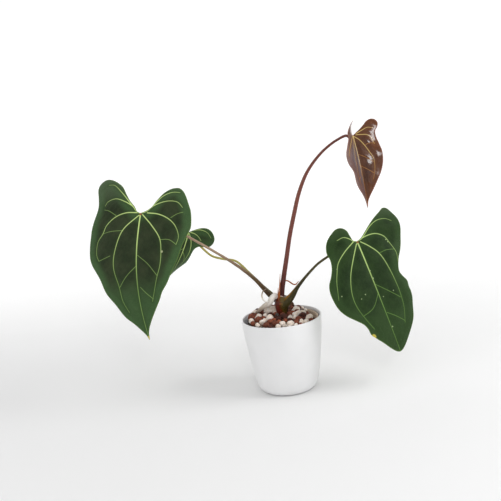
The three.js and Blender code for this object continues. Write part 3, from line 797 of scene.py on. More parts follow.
def flat_leaf(leaf, spacing):
    """Flat places and triangles of a leaf, with edges along its margin and veins."""
    left = smooth_line(leaf["left_margin"], spacing)
    right = smooth_line(leaf["right_margin"], spacing)
    outline = np.vstack([left, right[-2:0:-1]])
    midrib = [(0, 0), (0, leaf["length"])]
    placed = [tuple(point) for point in outline]
    edges = []
    flanks = []
    for line in [midrib, *leaf["veins"], *leaf["cross_veins"]]:
        path = smooth_line(line, spacing)
        middle = (path[1:] + path[:-1]) / 2
        flanks += [middle + side * FLANK * across_steps(path) for side in (-1, 1)]
        inside = path[inside_outline(path, outline)]
        kept = clear_of(inside, outline, CLEAR_OF_OUTLINE * spacing)
        first = len(placed)
        placed += [tuple(point) for point in kept]
        edges += [(i, i + 1) for i in range(first, len(placed) - 1)]
    low, high = outline.min(axis=0), outline.max(axis=0)
    rows = np.arange(low[1], high[1], spacing * math.sqrt(3) / 2)
    grid = np.array([
        (x + 0.5 * spacing * (i % 2), y)
        for i, y in enumerate(rows) for x in np.arange(low[0], high[0], spacing)
    ])
    for offered in (np.vstack(flanks), grid):
        inside = offered[inside_outline(offered, outline)]
        placed += [tuple(point) for point in clear_of(inside, placed, CLEAR_OF_PLACED * spacing)]
    corners = [Vector(point) for point in placed]
    made = geometry.delaunay_2d_cdt(corners, edges, [list(range(len(outline)))], 1, 1e-4)
    return np.array([tuple(point) for point in made[0]]), np.array(made[2]), outline


def rim_edges(triangles):
    """Edges that only one triangle uses, in that triangle's direction."""
    sides = np.vstack([triangles[:, [0, 1]], triangles[:, [1, 2]], triangles[:, [2, 0]]])
    keys = {tuple(side) for side in sides.tolist()}
    return [side for side in keys if (side[1], side[0]) not in keys]


def bell(distance, spread):
    """1 at no distance, falling to 0 over the spread."""
    return np.exp(-(distance / spread) ** 2)


def blade_relief(leaf, look, sizes, flat, outline):
    """Lifts of the two faces, of the middle between them, and what the skin reads."""
    scale = look["vein_scale"]
    midrib = [[(0, 0), (0, leaf["length"])]]
    fields = [
        nearest_on_lines(flat, lines, [scale * width for width in widths])
        for lines, widths in (
            (midrib, MIDRIB_HALF_WIDTH), (leaf["veins"], VEIN_HALF_WIDTH),
            (leaf["cross_veins"], CROSS_HALF_WIDTH),
        )
    ]
    midrib_gap, midrib_shown, midrib_width = fields[0]
    side_gap, side_shown, side_width = fields[1]
    cross_gap = fields[2][0]
    on_midrib = midrib_width - midrib_shown > side_width - side_shown
    vein_gap = np.where(on_midrib, midrib_shown, side_shown)
    vein_width = np.where(on_midrib, midrib_width, side_width)
    closed = np.vstack([outline, outline[:1]])
    margin = nearest_on_lines(flat, [closed], (0, 0))[0]

    fade = 1 - bell(margin * MM, sizes.pillow_margin)
    bulge = 1 - bell(np.minimum(midrib_gap, side_gap) * MM, sizes.pillow_reach)
    pillow = fade * (sizes.pillow_height / MM * look["pillow"] * bulge)
    pillow = pillow * (1 - CROSS_DIP["share"] * bell(cross_gap, CROSS_DIP["spread"]))
    rows = flat[:, 1] - QUILT["slant"] * np.abs(flat[:, 0])
    quilt = np.cos(2 * math.pi * rows / QUILT["spacing"])
    pillow = pillow + QUILT["depth"] * look["pillow"] * fade * bulge * quilt
    ridge = RIDGE["height"] * scale * bell(vein_gap, RIDGE["spread"] * vein_width + 0.01)
    along = np.maximum(0, flat[:, 1]) / leaf["length"]
    rib = RIB["depth"] * bell(flat[:, 0], RIB["half_width"]) * (1 - RIB["fading"] * along)
    rib = rib + SIDE_RIB["depth"] * scale * fade * bell(side_gap, SIDE_RIB["spread"])
    thinning = MARGIN_THINNING["share"] * np.exp(-margin / MARGIN_THINNING["spread"])
    half = 0.5 * BLADE_THICKNESS * (1 - thinning)
    read = {
        "vein_gap": vein_gap, "vein_width": vein_width, "cross_gap": cross_gap,
        "margin_gap": margin, "quilt": 0.5 + 0.5 * bulge * quilt,
    }
    return half + pillow + fade * ridge, pillow - half - rib, pillow, read


def leaf_blade(name, leaf, look, sizes, material):
    """Blade with raised veins, panels that bulge between them and a rounded margin."""
    flat, triangles, outline = flat_leaf(leaf, sizes.blade_grid / MM)
    top, bottom, middle, read = blade_relief(leaf, look, sizes, flat, outline)
    directed = triangles[:, ::-1]
    rim = rim_edges(directed)
    rim_points = sorted({point for edge in rim for point in edge})
    order = {point: i for i, point in enumerate(rim_points)}
    outset = np.zeros((len(rim_points), 2))
    for a, b in rim:
        step = unit(flat[b] - flat[a])
        for point in (a, b):
            outset[order[point]] += (-step[1], step[0])
    outset = outset / np.maximum(np.linalg.norm(outset, axis=1), 1e-6)[:, None]
    rim_flat = flat[rim_points] + RIM_ROUND * outset
    count = len(flat)
    faces = directed.tolist() + (triangles + count).tolist()
    for a, b in rim:
        rim_a, rim_b = 2 * count + order[a], 2 * count + order[b]
        faces += [[b, a, rim_a, rim_b], [rim_b, rim_a, a + count, b + count]]
    points = np.vstack([
        on_blade(leaf, flat, top), on_blade(leaf, flat, bottom),
        on_blade(leaf, rim_flat, middle[rim_points]),
    ])
    obj = mesh_object(name, points, faces, material=material)
    for label, values in read.items():
        set_attribute(obj, label, np.concatenate([values, values, values[rim_points]]))
    under = np.concatenate([np.zeros(count), np.ones(count), np.full(len(rim_points), 0.5)])
    set_attribute(obj, "underside", under)
    flat_all = np.vstack([flat, flat, rim_flat])
    set_attribute(obj, "leaf_place", np.column_stack([flat_all, np.zeros(len(flat_all))]))
    return obj


# Stalks, roots and bracts

def stem_recipe():
    """Round stem along a line of points, with a grain and its own length stored on it."""
    recipe = Recipe("Stem", {"Sides": "Int", "Unevenness": "Float", "Grain": "Float"})
    line = recipe.node("GeometryNodeMeshToCurve", None, {"Mesh": recipe.given("Geometry")})
    spline = recipe.node("GeometryNodeSplineParameter", None, None, "Factor")
    line = recipe.store(line, "along", spline)
    circle = recipe.node("GeometryNodeCurvePrimitiveCircle", None, {
        "Resolution": recipe.given("Sides"), "Radius": 1.0,
    })
    tube = recipe.node("GeometryNodeCurveToMesh", None, {
        "Curve": line, "Profile Curve": circle, "Fill Caps": True,
        "Scale": recipe.named("thickness"),
    })
    facing = recipe.node("GeometryNodeInputNormal")
    tube = recipe.store(tube, "upward", recipe.along_axis("Z", facing))
    place = recipe.node("GeometryNodeInputPosition")
    waves = recipe.noise(place, recipe.given("Grain"), 2.0)
    tube = recipe.push_out(tube, (waves - 0.5) * recipe.given("Unevenness"))
    return recipe.finish(tube)


def path_and_radius(shape, step):
    """Smooth path, the share of it covered at each point, and the radius there.

    The radii of a shape are given at even stations.
    """
    path = smooth_line(shape["path"], step)
    share = np.linspace(0, 1, len(path))
    stations = np.linspace(0, 1, len(shape["radii"]))
    return path, share, np.interp(share, stations, shape["radii"])


def stem(recipe, name, shape, material):
    """Stem along a smooth path, with its radius evened out."""
    path, _, radius = path_and_radius(shape, shape["step"])
    window = max(3, 2 * (len(path) // (3 * len(shape["radii"]))) + 1)
    padded = np.pad(radius, window // 2, mode="edge")
    radius = np.convolve(padded, np.ones(window) / window, mode="valid")
    steps = [(i, i + 1) for i in range(len(path) - 1)]
    obj = mesh_object(name, path, [], steps)
    set_attribute(obj, "thickness", radius * MM)
    return recipe.grow(
        obj, sides=shape["sides"], unevenness=shape["unevenness"] * MM, grain=shape["grain"],
        material=material,
    )


def stalk_shape(name, settings):
    """Stalk that ends square in the back of its blade, behind the sinus."""
    leaf, stalk = LEAVES[name], STALKS[name]
    mitre = math.cos(math.radians(sum(leaf["fold"]) / 2))
    rib = RIB["depth"] * (1 - RIB["fading"] * JOIN_DEPTH / leaf["length"])
    back = -(BLADE_THICKNESS / 2 + rib) / mitre
    face = leaf_axes(leaf)[1]
    end = on_blade(leaf, np.array([[0, JOIN_DEPTH]]), np.zeros(1))[0]
    tip = end + face * (back + STALK_SINK)
    bend = tip - face * STALK_BEND
    return {
        "path": [*stalk["path"], tuple(bend), tuple(tip)], "radii": stalk["radii"],
        "sides": settings.sides, "step": settings.step / MM, **STALK_GRAIN,
    }


def curled_sheath(name, shape, material):
    """Papery sheath: a crescent of a tube along a path, ragged towards its tip."""
    path, share, radius = path_and_radius(shape, SHEATH["step"])
    forward = np.gradient(path, axis=0)
    forward /= np.linalg.norm(forward, axis=1)[:, None]
    side = unit(np.cross(forward[0], (0.3, 1, 0.1)))
    rows = []
    for i, centre in enumerate(path):
        side = unit(side - forward[i] * (side @ forward[i]))
        other = np.cross(forward[i], side)
        opening = math.radians(shape["sweep"]) * (1 - SHEATH["narrowing"] * share[i] ** 2)
        start = math.radians(shape["turn"] * share[i]) - opening / 2
        angles = start + opening * np.linspace(0, 1, SHEATH["across"])
        ruffle = 1 + SHEATH["ruffle"] * np.sin(5 * angles + 9 * share[i])
        wall = SHEATH["wall"] / max(radius[i], SHEATH["wall"])
        outer = list(zip(angles, ruffle))
        inner = [(angle, reach - wall) for angle, reach in outer[::-1]]
        rows += [
            centre + radius[i] * reach * (np.cos(angle) * side + np.sin(angle) * other)
            for angle, reach in outer + inner
        ]
    ring = 2 * SHEATH["across"]
    last = len(rows) - ring
    faces = [list(range(ring))[::-1]]
    for first in range(0, last, ring):
        for j in range(ring):
            a, b = first + j, first + (j + 1) % ring
            faces.append([a, b, b + ring, a + ring])
    faces.append([last + j for j in range(ring)])
    obj = mesh_object(name, rows, faces, material=material)
    set_attribute(obj, "along", np.repeat(share, ring))
    return obj


# Pots

def turned(name, profile, segments, material, closed=True):
    """Body turned round the Z axis from a profile that starts on it, and ends on it if closed."""
    inner = [point for point in profile if point[0] > 0]
    angles = np.linspace(0, 2 * math.pi, segments, endpoint=False)
    points = [(0, 0, profile[0][1]), (0, 0, profile[-1][1])]
    for radius, height in inner:
        points += [(radius * math.cos(a), radius * math.sin(a), height) for a in angles]

    def at(ring, j):
        return 2 + ring * segments + j % segments
    faces = []
    for j in range(segments):
        faces.append([0, at(0, j + 1), at(0, j)])
        if closed:
            faces.append([1, at(len(inner) - 1, j), at(len(inner) - 1, j + 1)])
        for ring in range(len(inner) - 1):
            faces.append([at(ring, j), at(ring, j + 1), at(ring + 1, j + 1), at(ring + 1, j)])
    return mesh_object(name, points, faces, material=material)


def arc(centre, radius, start, end, steps):
    """Points on an arc, between two angles in degrees."""
    angles = np.radians(np.linspace(start, end, steps))
    return [(centre[0] + radius * math.cos(a), centre[1] + radius * math.sin(a)) for a in angles]


def cover_pot_profile():
    """Half outline of the cover pot: up its outside, over the round rim and down inside."""
    outside = [tuple(point) for point in smooth_line(COVER_PROFILE, COVER_STEP)]
    round_rim = COVER_WALL / 2
    rim_radius = COVER_PROFILE[-1][0]
    rim = arc((rim_radius - round_rim, COVER_HEIGHT - round_rim), round_rim, 10, 170, 7)
    above_foot = outside[8:-1]
    inside = [(radius - COVER_WALL, height) for radius, height in reversed(above_foot)]
    return [(0, 0), COVER_STAND, *outside, *rim, *inside, *COVER_FLOOR]


def nursery_radius(height):
    """Outer radius of the clear pot at a height."""
    low, high = NURSERY["foot_radius"], NURSERY["rim_radius"]
    return low + (high - low) * (height - NURSERY["foot"]) / (NURSERY["top"] - NURSERY["foot"])


def nursery_profile():
    """Half outline of the clear pot: up its outside, over the lip and down inside."""
    foot, top, wall = NURSERY["foot"], NURSERY["top"], NURSERY["wall"]
    below, middle = top - NURSERY["lip_height"], NURSERY["middle"]
    outer, inner = NURSERY["chamfer"], NURSERY["inner_chamfer"]
    at_foot = nursery_radius(foot)
    lip = nursery_radius(below) + NURSERY["lip"]
    return [
        (0, foot), (at_foot - outer, foot), (at_foot, foot + outer),
        (nursery_radius(middle), middle), (nursery_radius(below), below), (lip, below + 0.2),
        (lip + 0.3, top - 0.5), (lip, top), (nursery_radius(top) - wall, top),
        (nursery_radius(below) - wall, below), (at_foot - wall, foot + wall + inner),
        (at_foot - wall - inner, foot + wall), (0, foot + wall),
    ]


# Substrate

def mound_height(x, y):
    """Height of the substrate's surface."""
    centre = MOUND["peak"] * math.exp(-(x * x + y * y) / (2 * MOUND["spread"] ** 2))
    away = (x - HOLLOW["x"]) ** 2 + (y - HOLLOW["y"]) ** 2
    dip = HOLLOW["depth"] * math.exp(-away / (2 * HOLLOW["spread"] ** 2))
    return MOUND["edge"] + MOUND["back"] * y - MOUND["right"] * x + centre - dip


def random_from(seed):
    """Small repeatable random numbers between 0 and 1."""
    state = seed
    while True:
        state = (state * 16807) % 2147483647
        yield state / 2147483647


def stone_places():
    """Placed stones first, then smaller ones wherever there is room between them."""
    draw = random_from(FILL["seed"])
    kinds = random_from(FILL["seed"] + 7)
    stones = list(PLACED_STONES)
    for _ in range(FILL["tries"]):
        angle = 2 * math.pi * next(draw)
        reach = STONE["limit"] * math.sqrt(next(draw))
        size = FILL["smallest"] + (FILL["largest"] - FILL["smallest"]) * next(draw)
        flatness = STONE["flattest"] + (1 - STONE["flattest"]) * next(draw)
        x, y = reach * math.cos(angle), reach * math.sin(angle)
        clear = all(
            math.hypot(stone[1] - x, stone[2] - y) > FILL["spacing"] * (stone[3] + size) / 2
            for stone in stones
        )
        inside = reach + STONE["overhang"] * size < STONE["limit"]
        crown = math.hypot(x - CROWN["path"][0][0], y - CROWN["path"][0][1]) > CROWN_CLEARANCE
        hollow = math.hypot(x - HOLLOW["x"], y - HOLLOW["y"]) > HOLLOW["clear"]
        if clear and inside and crown and hollow:
            kind = (
                "clay" if next(kinds) < FILL["clay"]
                else "pumice" if next(kinds) < FILL["pumice"] else "lava")
            stones.append((kind, x, y, size, flatness))
    return stones


def pebble(name, seed, kind):
    """Closed stone of mean radius 1: a ball with soft flats cut on it, and at most one dent."""
    cuts, dent = kind["cuts"], kind.get("dent")
    chisel = np.random.default_rng(seed)
    form = bmesh.new()
    bmesh.ops.create_icosphere(form, subdivisions=4 if dent else 3, radius=1)
    ball = bpy.data.meshes.new(name)
    form.to_mesh(ball)
    form.free()
    points = np.array([vertex.co for vertex in ball.vertices])
    normals = chisel.normal(size=(cuts, 3))
    normals /= np.linalg.norm(normals, axis=1)[:, None]
    depths = chisel.uniform(*kind["nearness"], size=cuts)
    reach = depths / np.maximum(points @ normals.T, 0.02)
    soft = PEBBLE["softness"]
    cut = np.exp(-soft * np.minimum(reach, 4)).sum(axis=1)
    radius = -np.log(np.exp(-soft) + cut) / soft
    radius = np.minimum(radius / radius.mean(), PEBBLE["furthest"])
    if dent:
        away = np.degrees(np.arccos(np.clip(points @ unit(dent), -1, 1)))
        past_edge = (away - DENT["half_angle"]) / DENT["soft_angle"]
        radius = radius * (1 - DENT["depth"] / (1 + np.exp(past_edge)))
    points = points * radius[:, None] * kind.get("stretch", (1, 1, 1))
    ball.vertices.foreach_set("co", points.ravel())
    return bpy.data.objects.new(name, ball)


def shape_shelf(name, stones):
    """Collection that holds the stone shapes to draw from, kept out of the scene."""
    shelf = bpy.data.collections.new(name)
    for stone in stones:
        shelf.objects.link(stone)
    return shelf


def clear_shelf(shelf):
    """Removes a collection of stone shapes once they have been drawn from."""
    for stone in list(shelf.objects):
        bpy.data.meshes.remove(stone.data)
    bpy.data.collections.remove(shelf)


def crumb(name, seed):
    """Angular grain of radius 1, with twenty faces."""
    chisel = np.random.default_rng(seed)
    form = bmesh.new()
    bmesh.ops.create_icosphere(form, subdivisions=1, radius=1)
    for vertex in form.verts:
        vertex.co *= chisel.uniform(*CRUMB_REACH)
    grain = bpy.data.meshes.new(name)
    form.to_mesh(grain)
    form.free()
    return bpy.data.objects.new(name, grain)


def stones_recipe():
    """Scatters stone shapes over points, then flattens, roughens and pits each one."""
    recipe = Recipe("Stones", {
        "Shapes": "Collection", "Seed": "Int", "Roughening": "Float", "Grain": "Float",
        "Pit Depth": "Float", "Pit Grain": "Float", "Turn": "Float",
    })
    points = recipe.given("Geometry")
    shapes = recipe.node("GeometryNodeCollectionInfo", None, {
        "Collection": recipe.given("Shapes"), "Separate Children": True, "Reset Children": True,
    })
    drawn = recipe.node("FunctionNodeRandomValue", {"data_type": "INT"}, {
        "Min_002": 0, "Max_002": HIGHEST_DRAW, "Seed": recipe.given("Seed"),
    }, "Value_002")
    turned_by = recipe.node("FunctionNodeRandomValue", {"data_type": "FLOAT_VECTOR"}, {
        "Min": (0, 0, 0), "Max": ANY_TURN, "Seed": recipe.given("Seed"),
    }, "Value")
    turned_by = recipe.vector_math("SCALE", {0: turned_by, "Scale": recipe.given("Turn")})
    stones = recipe.node("GeometryNodeInstanceOnPoints", None, {
        "Points": points, "Instance": shapes, "Pick Instance": True, "Instance Index": drawn,
        "Rotation": turned_by, "Scale": recipe.named("radius"),
    })
    stones = recipe.node("GeometryNodeRealizeInstances", None, {"Geometry": stones})
    place = recipe.node("GeometryNodeInputPosition")
    height = recipe.along_axis("Z", place)
    lowered = (recipe.named("centre") - height) * (1 - recipe.named("flatness"))
    shift = recipe.node("ShaderNodeCombineXYZ", None, {"Z": lowered})
    stones = recipe.node("GeometryNodeSetPosition", None, {"Geometry": stones, "Offset": shift})
    rough = (recipe.noise(place, recipe.given("Grain"), 3.0) - 0.5) * recipe.given("Roughening")
    pit = 1 - recipe.between(recipe.cells(place, recipe.given("Pit Grain")), 0.1, 0.42)
    stones = recipe.push_out(stones, rough - pit * recipe.given("Pit Depth"))
    return recipe.finish(stones)


def stone_points(name, stones):
    """Points at the stones' middles, with what the recipe needs to know of each."""
    shades = np.random.default_rng(FILL["seed"]).random(len(stones))
    centres = [
        (x, y, mound_height(x, y) + STONE["lift"] * size * flatness)
        for _, x, y, size, flatness in stones
    ]
    obj = mesh_object(name, centres, [])
    set_attribute(obj, "radius", [STONE["half"] * stone[3] * MM for stone in stones])
    set_attribute(obj, "flatness", [stone[4] for stone in stones])
    set_attribute(obj, "centre", [centre[2] * MM for centre in centres])
    set_attribute(obj, "shade", shades)
    return obj


def core_rings(around, shares):
    """Points of the heap under the stones, ring by ring from the middle outwards."""
    edge = nursery_radius(CORE["edge"]) - NURSERY["wall"] - CORE["gap"]
    points = [(0, 0, mound_height(0, 0) - CORE["drop"])]
    for share in shares:
        at_wall = share == 1
        for j in range(around):
            angle = 2 * math.pi * j / around
            x, y = share * edge * math.cos(angle), share * edge * math.sin(angle)
            lump = math.sin(0.9 * x + 0.4 * y) * math.cos(0.7 * y - 0.3 * x)
            height = mound_height(x, y) - CORE["drop"] * (2 if at_wall else 1)
            height = height + LUMP["height"] * lump
            points.append((x, y, min(height, LUMP["ceiling"]) if at_wall else height))
    return points


def heap(name, material):
    """Closed heap that fills the clear pot up to the stones."""
    around, steps = CORE["around"], CORE["steps"]
    points = core_rings(around, np.linspace(0, 1, steps + 1)[1:].tolist())
    foot = NURSERY["foot"] + NURSERY["wall"] + CORE["gap"]
    reach = nursery_radius(foot) - NURSERY["wall"] - CORE["gap"] - 1
    for j in range(around):
        angle = 2 * math.pi * j / around
        points.append((reach * math.cos(angle), reach * math.sin(angle), foot))
    points.append((0, 0, foot))

    def at(ring, j):
        return 1 + ring * around + j % around
    faces = []
    for j in range(around):
        faces.append([0, at(0, j), at(0, j + 1)])
        for ring in range(steps):
            faces.append([at(ring, j), at(ring + 1, j), at(ring + 1, j + 1), at(ring, j + 1)])
        faces.append([len(points) - 1, at(steps, j + 1), at(steps, j)])
    return mesh_object(name, points, faces, material=material)


def grit_bed(name):
    """Sheet just under the stones, for the grit to lie on."""
    around, steps = GRIT["around"], GRIT["steps"]
    points = core_rings(around, np.linspace(0, GRIT["reach"], steps + 1)[1:].tolist())
    points = [(x, y, z + GRIT["rise"]) for x, y, z in points]
    faces = [[0, 1 + j, 1 + (j + 1) % around] for j in range(around)]
    for ring in range(steps - 1):
        for j in range(around):
            a, b = 1 + ring * around + j, 1 + ring * around + (j + 1) % around
            faces.append([a, a + around, b + around, b])
    return mesh_object(name, points, faces)


def grit_recipe():
    """Small grains strewn over a surface, each with its own size, turn and shade."""
    recipe = Recipe("Grit", {
        "Shapes": "Collection", "Seed": "Int", "Grains": "Float",
        "Smallest": "Float", "Largest": "Float",
    })
    points = recipe.node("GeometryNodeDistributePointsOnFaces", None, {
        "Mesh": recipe.given("Geometry"), "Density": recipe.given("Grains"),
        "Seed": recipe.given("Seed"),
    })
    shade = recipe.node("FunctionNodeRandomValue", None, {"Seed": recipe.given("Seed")}, "Value_001")
    points = recipe.store(points, "shade", shade)
    size = recipe.node("FunctionNodeRandomValue", None, {
        "Min_001": recipe.given("Smallest"), "Max_001": recipe.given("Largest"),
        "Seed": GRIT["size_seed"],
    }, "Value_001")
    turned_by = recipe.node("FunctionNodeRandomValue", {"data_type": "FLOAT_VECTOR"}, {
        "Min": (0, 0, 0), "Max": ANY_TURN, "Seed": GRIT["turn_seed"],
    }, "Value")
    shapes = recipe.node("GeometryNodeCollectionInfo", None, {
        "Collection": recipe.given("Shapes"), "Separate Children": True, "Reset Children": True,
    })
    grains = recipe.node("GeometryNodeInstanceOnPoints", None, {
        "Points": points, "Instance": shapes, "Pick Instance": True,
        "Rotation": turned_by, "Scale": size,
    })
    return recipe.finish(grains)


# Finishes

def dimmed(colour, share):
    """The same colour, darker or lighter by a share."""
    return tuple(min(1.0, part * share) for part in colour[:3]) + (1.0,)


def white_plastic(colour):
    """Satin moulded plastic, faintly uneven in gloss."""
    finish = Finish("satin_white_plastic")
    place = finish.object_place()
    cloud = finish.noise(place, 16, 2.0)
    grain = finish.noise(place, 1400, 2.0)
    base = finish.mix(finish.between(cloud, 0.3, 0.7), colour, dimmed(colour, 0.965))
    return finish.surface(
        Base_Color=base, Roughness=0.3 + 0.12 * cloud, Normal=finish.bump(grain, 0.00002),
        Specular_IOR_Level=0.45, Coat_Weight=0.15, Coat_Roughness=0.25,
    )


def clear_plastic(tint, residue, opacity):
    """Thin clear plastic, clouded, with dried mineral residue towards one side."""
    finish = Finish("clouded_clear_plastic")
    place = finish.object_place()
    side = finish.along_axis("X", place)
    patches = finish.noise(place, 95, 4.0)
    crust = finish.between(side + 0.05 * (patches - 0.5), 0.012, 0.045)
    base = finish.mix(crust, tint, residue)
    clouds = finish.noise(place, 60, 3.0)
    alpha = opacity + 0.15 * clouds + 0.5 * crust
    return finish.surface(
        Base_Color=base, Alpha=alpha, Roughness=0.22 + 0.5 * crust,
        Normal=finish.bump(patches, 0.0001),
    )


def clay_ball(colour):
    """Baked clay: brick skin with fine pores, dust and darker scorched patches."""
    finish = Finish("baked_clay")
    place = finish.object_place()
    shade = finish.attribute("shade")
    patches = finish.noise(place, 190, 4.0)
    pores = finish.cells(place, 1500)
    scorch = finish.between(patches + 0.3 * (shade - 0.5), 0.35, 0.7)
    base = finish.mix(scorch, dimmed(colour, 0.45), colour)
    base = finish.mix(0.4 * finish.between(shade, 0.6, 1.0), base, tone(184, 104, 70))
    dust = finish.between(finish.noise(place, 420, 5.0), 0.58, 0.74)
    base = finish.mix(0.25 * dust, base, tone(204, 166, 142))
    skin = finish.between(pores, 0.0, 0.35)
    relief = finish.bump(skin + 0.6 * finish.noise(place, 700, 4.0), 0.0004)
    return finish.surface(Base_Color=base, Roughness=0.82 + 0.12 * patches, Normal=relief)


def pumice_stone(colour):
    """Pale volcanic froth with dark pits."""
    finish = Finish("pumice")
    place = finish.object_place()
    shade = finish.attribute("shade")
    patches = finish.noise(place, 230, 4.0)
    warm = finish.mix(shade, colour, tone(236, 216, 196))
    base = finish.mix(finish.between(patches, 0.42, 0.66), warm, tone(252, 244, 236))
    grey = finish.between(shade, 0.84, 0.94)
    base = finish.mix(0.5 * grey, base, tone(172, 168, 164))
    pits = 1 - finish.between(finish.cells(place, 620), 0.12, 0.3)
    specks = 1 - finish.between(finish.cells(place, 1700), 0.1, 0.26)
    base = finish.mix(0.5 * pits, base, tone(136, 112, 94))
    base = finish.mix(0.25 * specks, base, tone(148, 122, 102))
    relief = finish.bump(patches - pits - 0.5 * specks, 0.0006)
    return finish.surface(Base_Color=base, Roughness=0.93, Normal=relief)


def lava_stone(colour):
    """Dark red-brown cinder, rough and deeply pitted."""
    finish = Finish("lava_cinder")
    place = finish.object_place()
    shade = finish.attribute("shade")
    patches = finish.noise(place, 240, 5.0)
    base = finish.mix(finish.between(patches, 0.36, 0.62), dimmed(colour, 0.35), colour)
    base = finish.mix(finish.between(shade, 0.62, 0.8), base, tone(78, 72, 70))
    pits = 1 - finish.between(finish.cells(place, 900), 0.1, 0.34)
    base = finish.mix(0.8 * pits, base, tone(24, 14, 10))
    relief = finish.bump(finish.noise(place, 800, 5.0) - 1.2 * pits, 0.0007)
    return finish.surface(Base_Color=base, Roughness=0.9, Normal=relief)


def bark_chip():
    """Weathered bark, in thin layers."""
    finish = Finish("bark")
    layers = finish.noise(finish.stretched(finish.object_place(), (300, 300, 1500)), 1.0, 4.0)
    base = finish.mix(finish.between(layers, 0.35, 0.65), tone(58, 34, 22), tone(124, 84, 58))
    return finish.surface(Base_Color=base, Roughness=0.9, Normal=finish.bump(layers, 0.0006))


def mixed_grit():
    """Crumbs of clay, pumice and dust."""
    finish = Finish("grit")
    place = finish.object_place()
    shade = finish.attribute("shade")
    base = finish.ramp(shade, [
        (0.0, tone(78, 46, 34)), (0.35, tone(126, 78, 58)), (0.55, tone(150, 124, 102)),
        (1.0, tone(204, 188, 170)),
    ])
    grain = finish.noise(place, 900, 4.0)
    base = finish.mix(0.5 * finish.between(grain, 0.4, 0.7), base, tone(90, 66, 50))
    return finish.surface(Base_Color=base, Roughness=0.95, Normal=finish.bump(grain, 0.0004))


def heap_fill():
    """Shaded fill seen only between the stones and through the clear wall."""
    finish = Finish("fill")
    place = finish.object_place()
    balls = finish.cells(place, 110)
    kinds = finish.noise(place, 80, 3.0)
    base = finish.ramp(kinds, [
        (0.3, tone(52, 34, 26)), (0.5, tone(110, 70, 52)), (0.62, tone(150, 128, 108)),
        (0.8, tone(188, 172, 154)),
    ])
    base = finish.mix(finish.between(balls, 0.35, 0.62), base, tone(34, 24, 19))
    relief = finish.bump(finish.noise(place, 500, 5.0) - balls, 0.0015)
    return finish.surface(Base_Color=base, Roughness=0.95, Normal=relief)


def stalk_skin(name, colours, ridge, gloss):
    """Skin that changes colour from the base of a stalk to its leaf, with fine flecks and a painted
    highlight on its upward side near the base.
    """
    finish = Finish(name)
    place = finish.object_place()
    along = finish.attribute("along")
    drift = finish.noise(place, 40, 3.0)
    stops = [(stop, tone(*colour)) for stop, colour in zip((0.03, 0.22, 0.6, 0.97), colours)]
    base = finish.ramp(along + 0.12 * (drift - 0.5), stops)
    # painted highlight: the ridge colour lies on the upward side near the base
    near_base = 1 - finish.between(along + 0.1 * (drift - 0.5), 0.08, 0.34)
    lit_top = finish.between(finish.attribute("upward"), 0.4, 0.85)
    base = finish.mix(near_base * lit_top, base, tone(*ridge))
    streaks = finish.noise(finish.stretched(place, (900, 900, 90)), 1.0, 3.0)
    dark = dimmed(tone(*colours[1]), 0.55)
    base = finish.mix(0.4 * finish.between(streaks, 0.45, 0.75), base, dark)
    flecks = 1 - finish.between(finish.cells(place, 420), 0.1, 0.2)
    base = finish.mix(0.25 * flecks, base, tone(206, 190, 160))
    return finish.surface(
        Base_Color=base, Roughness=gloss + 0.15 * streaks,
        Normal=finish.bump(streaks + 0.5 * flecks, 0.00012), Specular_IOR_Level=0.25,
    )


def crown_skin():
    """Olive stem base, flushed maroon on the left and dark on the right, with corky scars."""
    finish = Finish("crown_skin")
    place = finish.object_place()
    side = finish.along_axis("X", place)
    flush = finish.noise(place, 95, 4.0)
    drift = side + 0.016 * (flush - 0.5)
    base = finish.mix(finish.between(drift, -0.003, 0.004), tone(98, 26, 12), tone(84, 68, 16))
    base = finish.mix(finish.between(drift, 0.008, 0.014), base, tone(34, 25, 9))
    bands = finish.noise(finish.stretched(place, (60, 60, 420)), 1.0, 3.0)
    base = finish.mix(0.6 * finish.between(bands, 0.52, 0.66), base, tone(40, 30, 10))
    cork = finish.between(finish.noise(place, 300, 5.0), 0.6, 0.7)
    base = finish.mix(0.6 * cork, base, tone(178, 118, 54))
    return finish.surface(
        Base_Color=base, Roughness=0.4 + 0.4 * cork, Normal=finish.bump(bands + cork, 0.0004),
        Specular_IOR_Level=0.3,
    )


def papery_sheath(colour):
    """Dried sheath: thin fibres, lighter and torn towards the tip."""
    finish = Finish("dried_sheath")
    place = finish.object_place()
    along = finish.attribute("along")
    fibres = finish.noise(finish.stretched(place, (1500, 1500, 120)), 1.0, 4.0)
    base = finish.mix(finish.between(fibres, 0.35, 0.7), dimmed(colour, 0.4), colour)
    base = finish.mix(0.2 * finish.between(along, 0.5, 1.0), base, tone(206, 150, 96))
    return finish.surface(Base_Color=base, Roughness=0.75, Normal=finish.bump(fibres, 0.0003))


def collar_skin():
    """Thin sheath remains, from orange through yellow to a bleached edge."""
    finish = Finish("collar_sheath")
    blotches = finish.noise(finish.object_place(), 210, 3.0)
    along = finish.attribute("along")
    base = finish.ramp(along + 0.7 * (blotches - 0.5), [
        (0.1, tone(122, 52, 22)), (0.4, tone(196, 110, 34)), (0.65, tone(208, 148, 66)),
        (0.95, tone(226, 204, 196)),
    ])
    return finish.surface(Base_Color=base, Roughness=0.6, Normal=finish.bump(blotches, 0.0004))


def root_skin():
    """Spongy white root skin that turns grey-brown where it meets the stones."""
    finish = Finish("root_skin")
    place = finish.object_place()
    along = finish.attribute("along")
    blotches = finish.noise(place, 120, 5.0)
    base = finish.ramp(along + 0.25 * (blotches - 0.5), [
        (0.18, tone(238, 234, 228)), (0.42, tone(214, 204, 192)), (0.62, tone(176, 160, 142)),
        (0.9, tone(122, 100, 82)),
    ])
    felt = finish.noise(place, 1100, 4.0)
    base = finish.mix(0.3 * finish.between(felt, 0.5, 0.7), base, tone(150, 132, 112))
    return finish.surface(
        Base_Color=base, Roughness=0.9, Normal=finish.bump(felt + blotches, 0.0003),
        Sheen_Weight=0.3,
    )


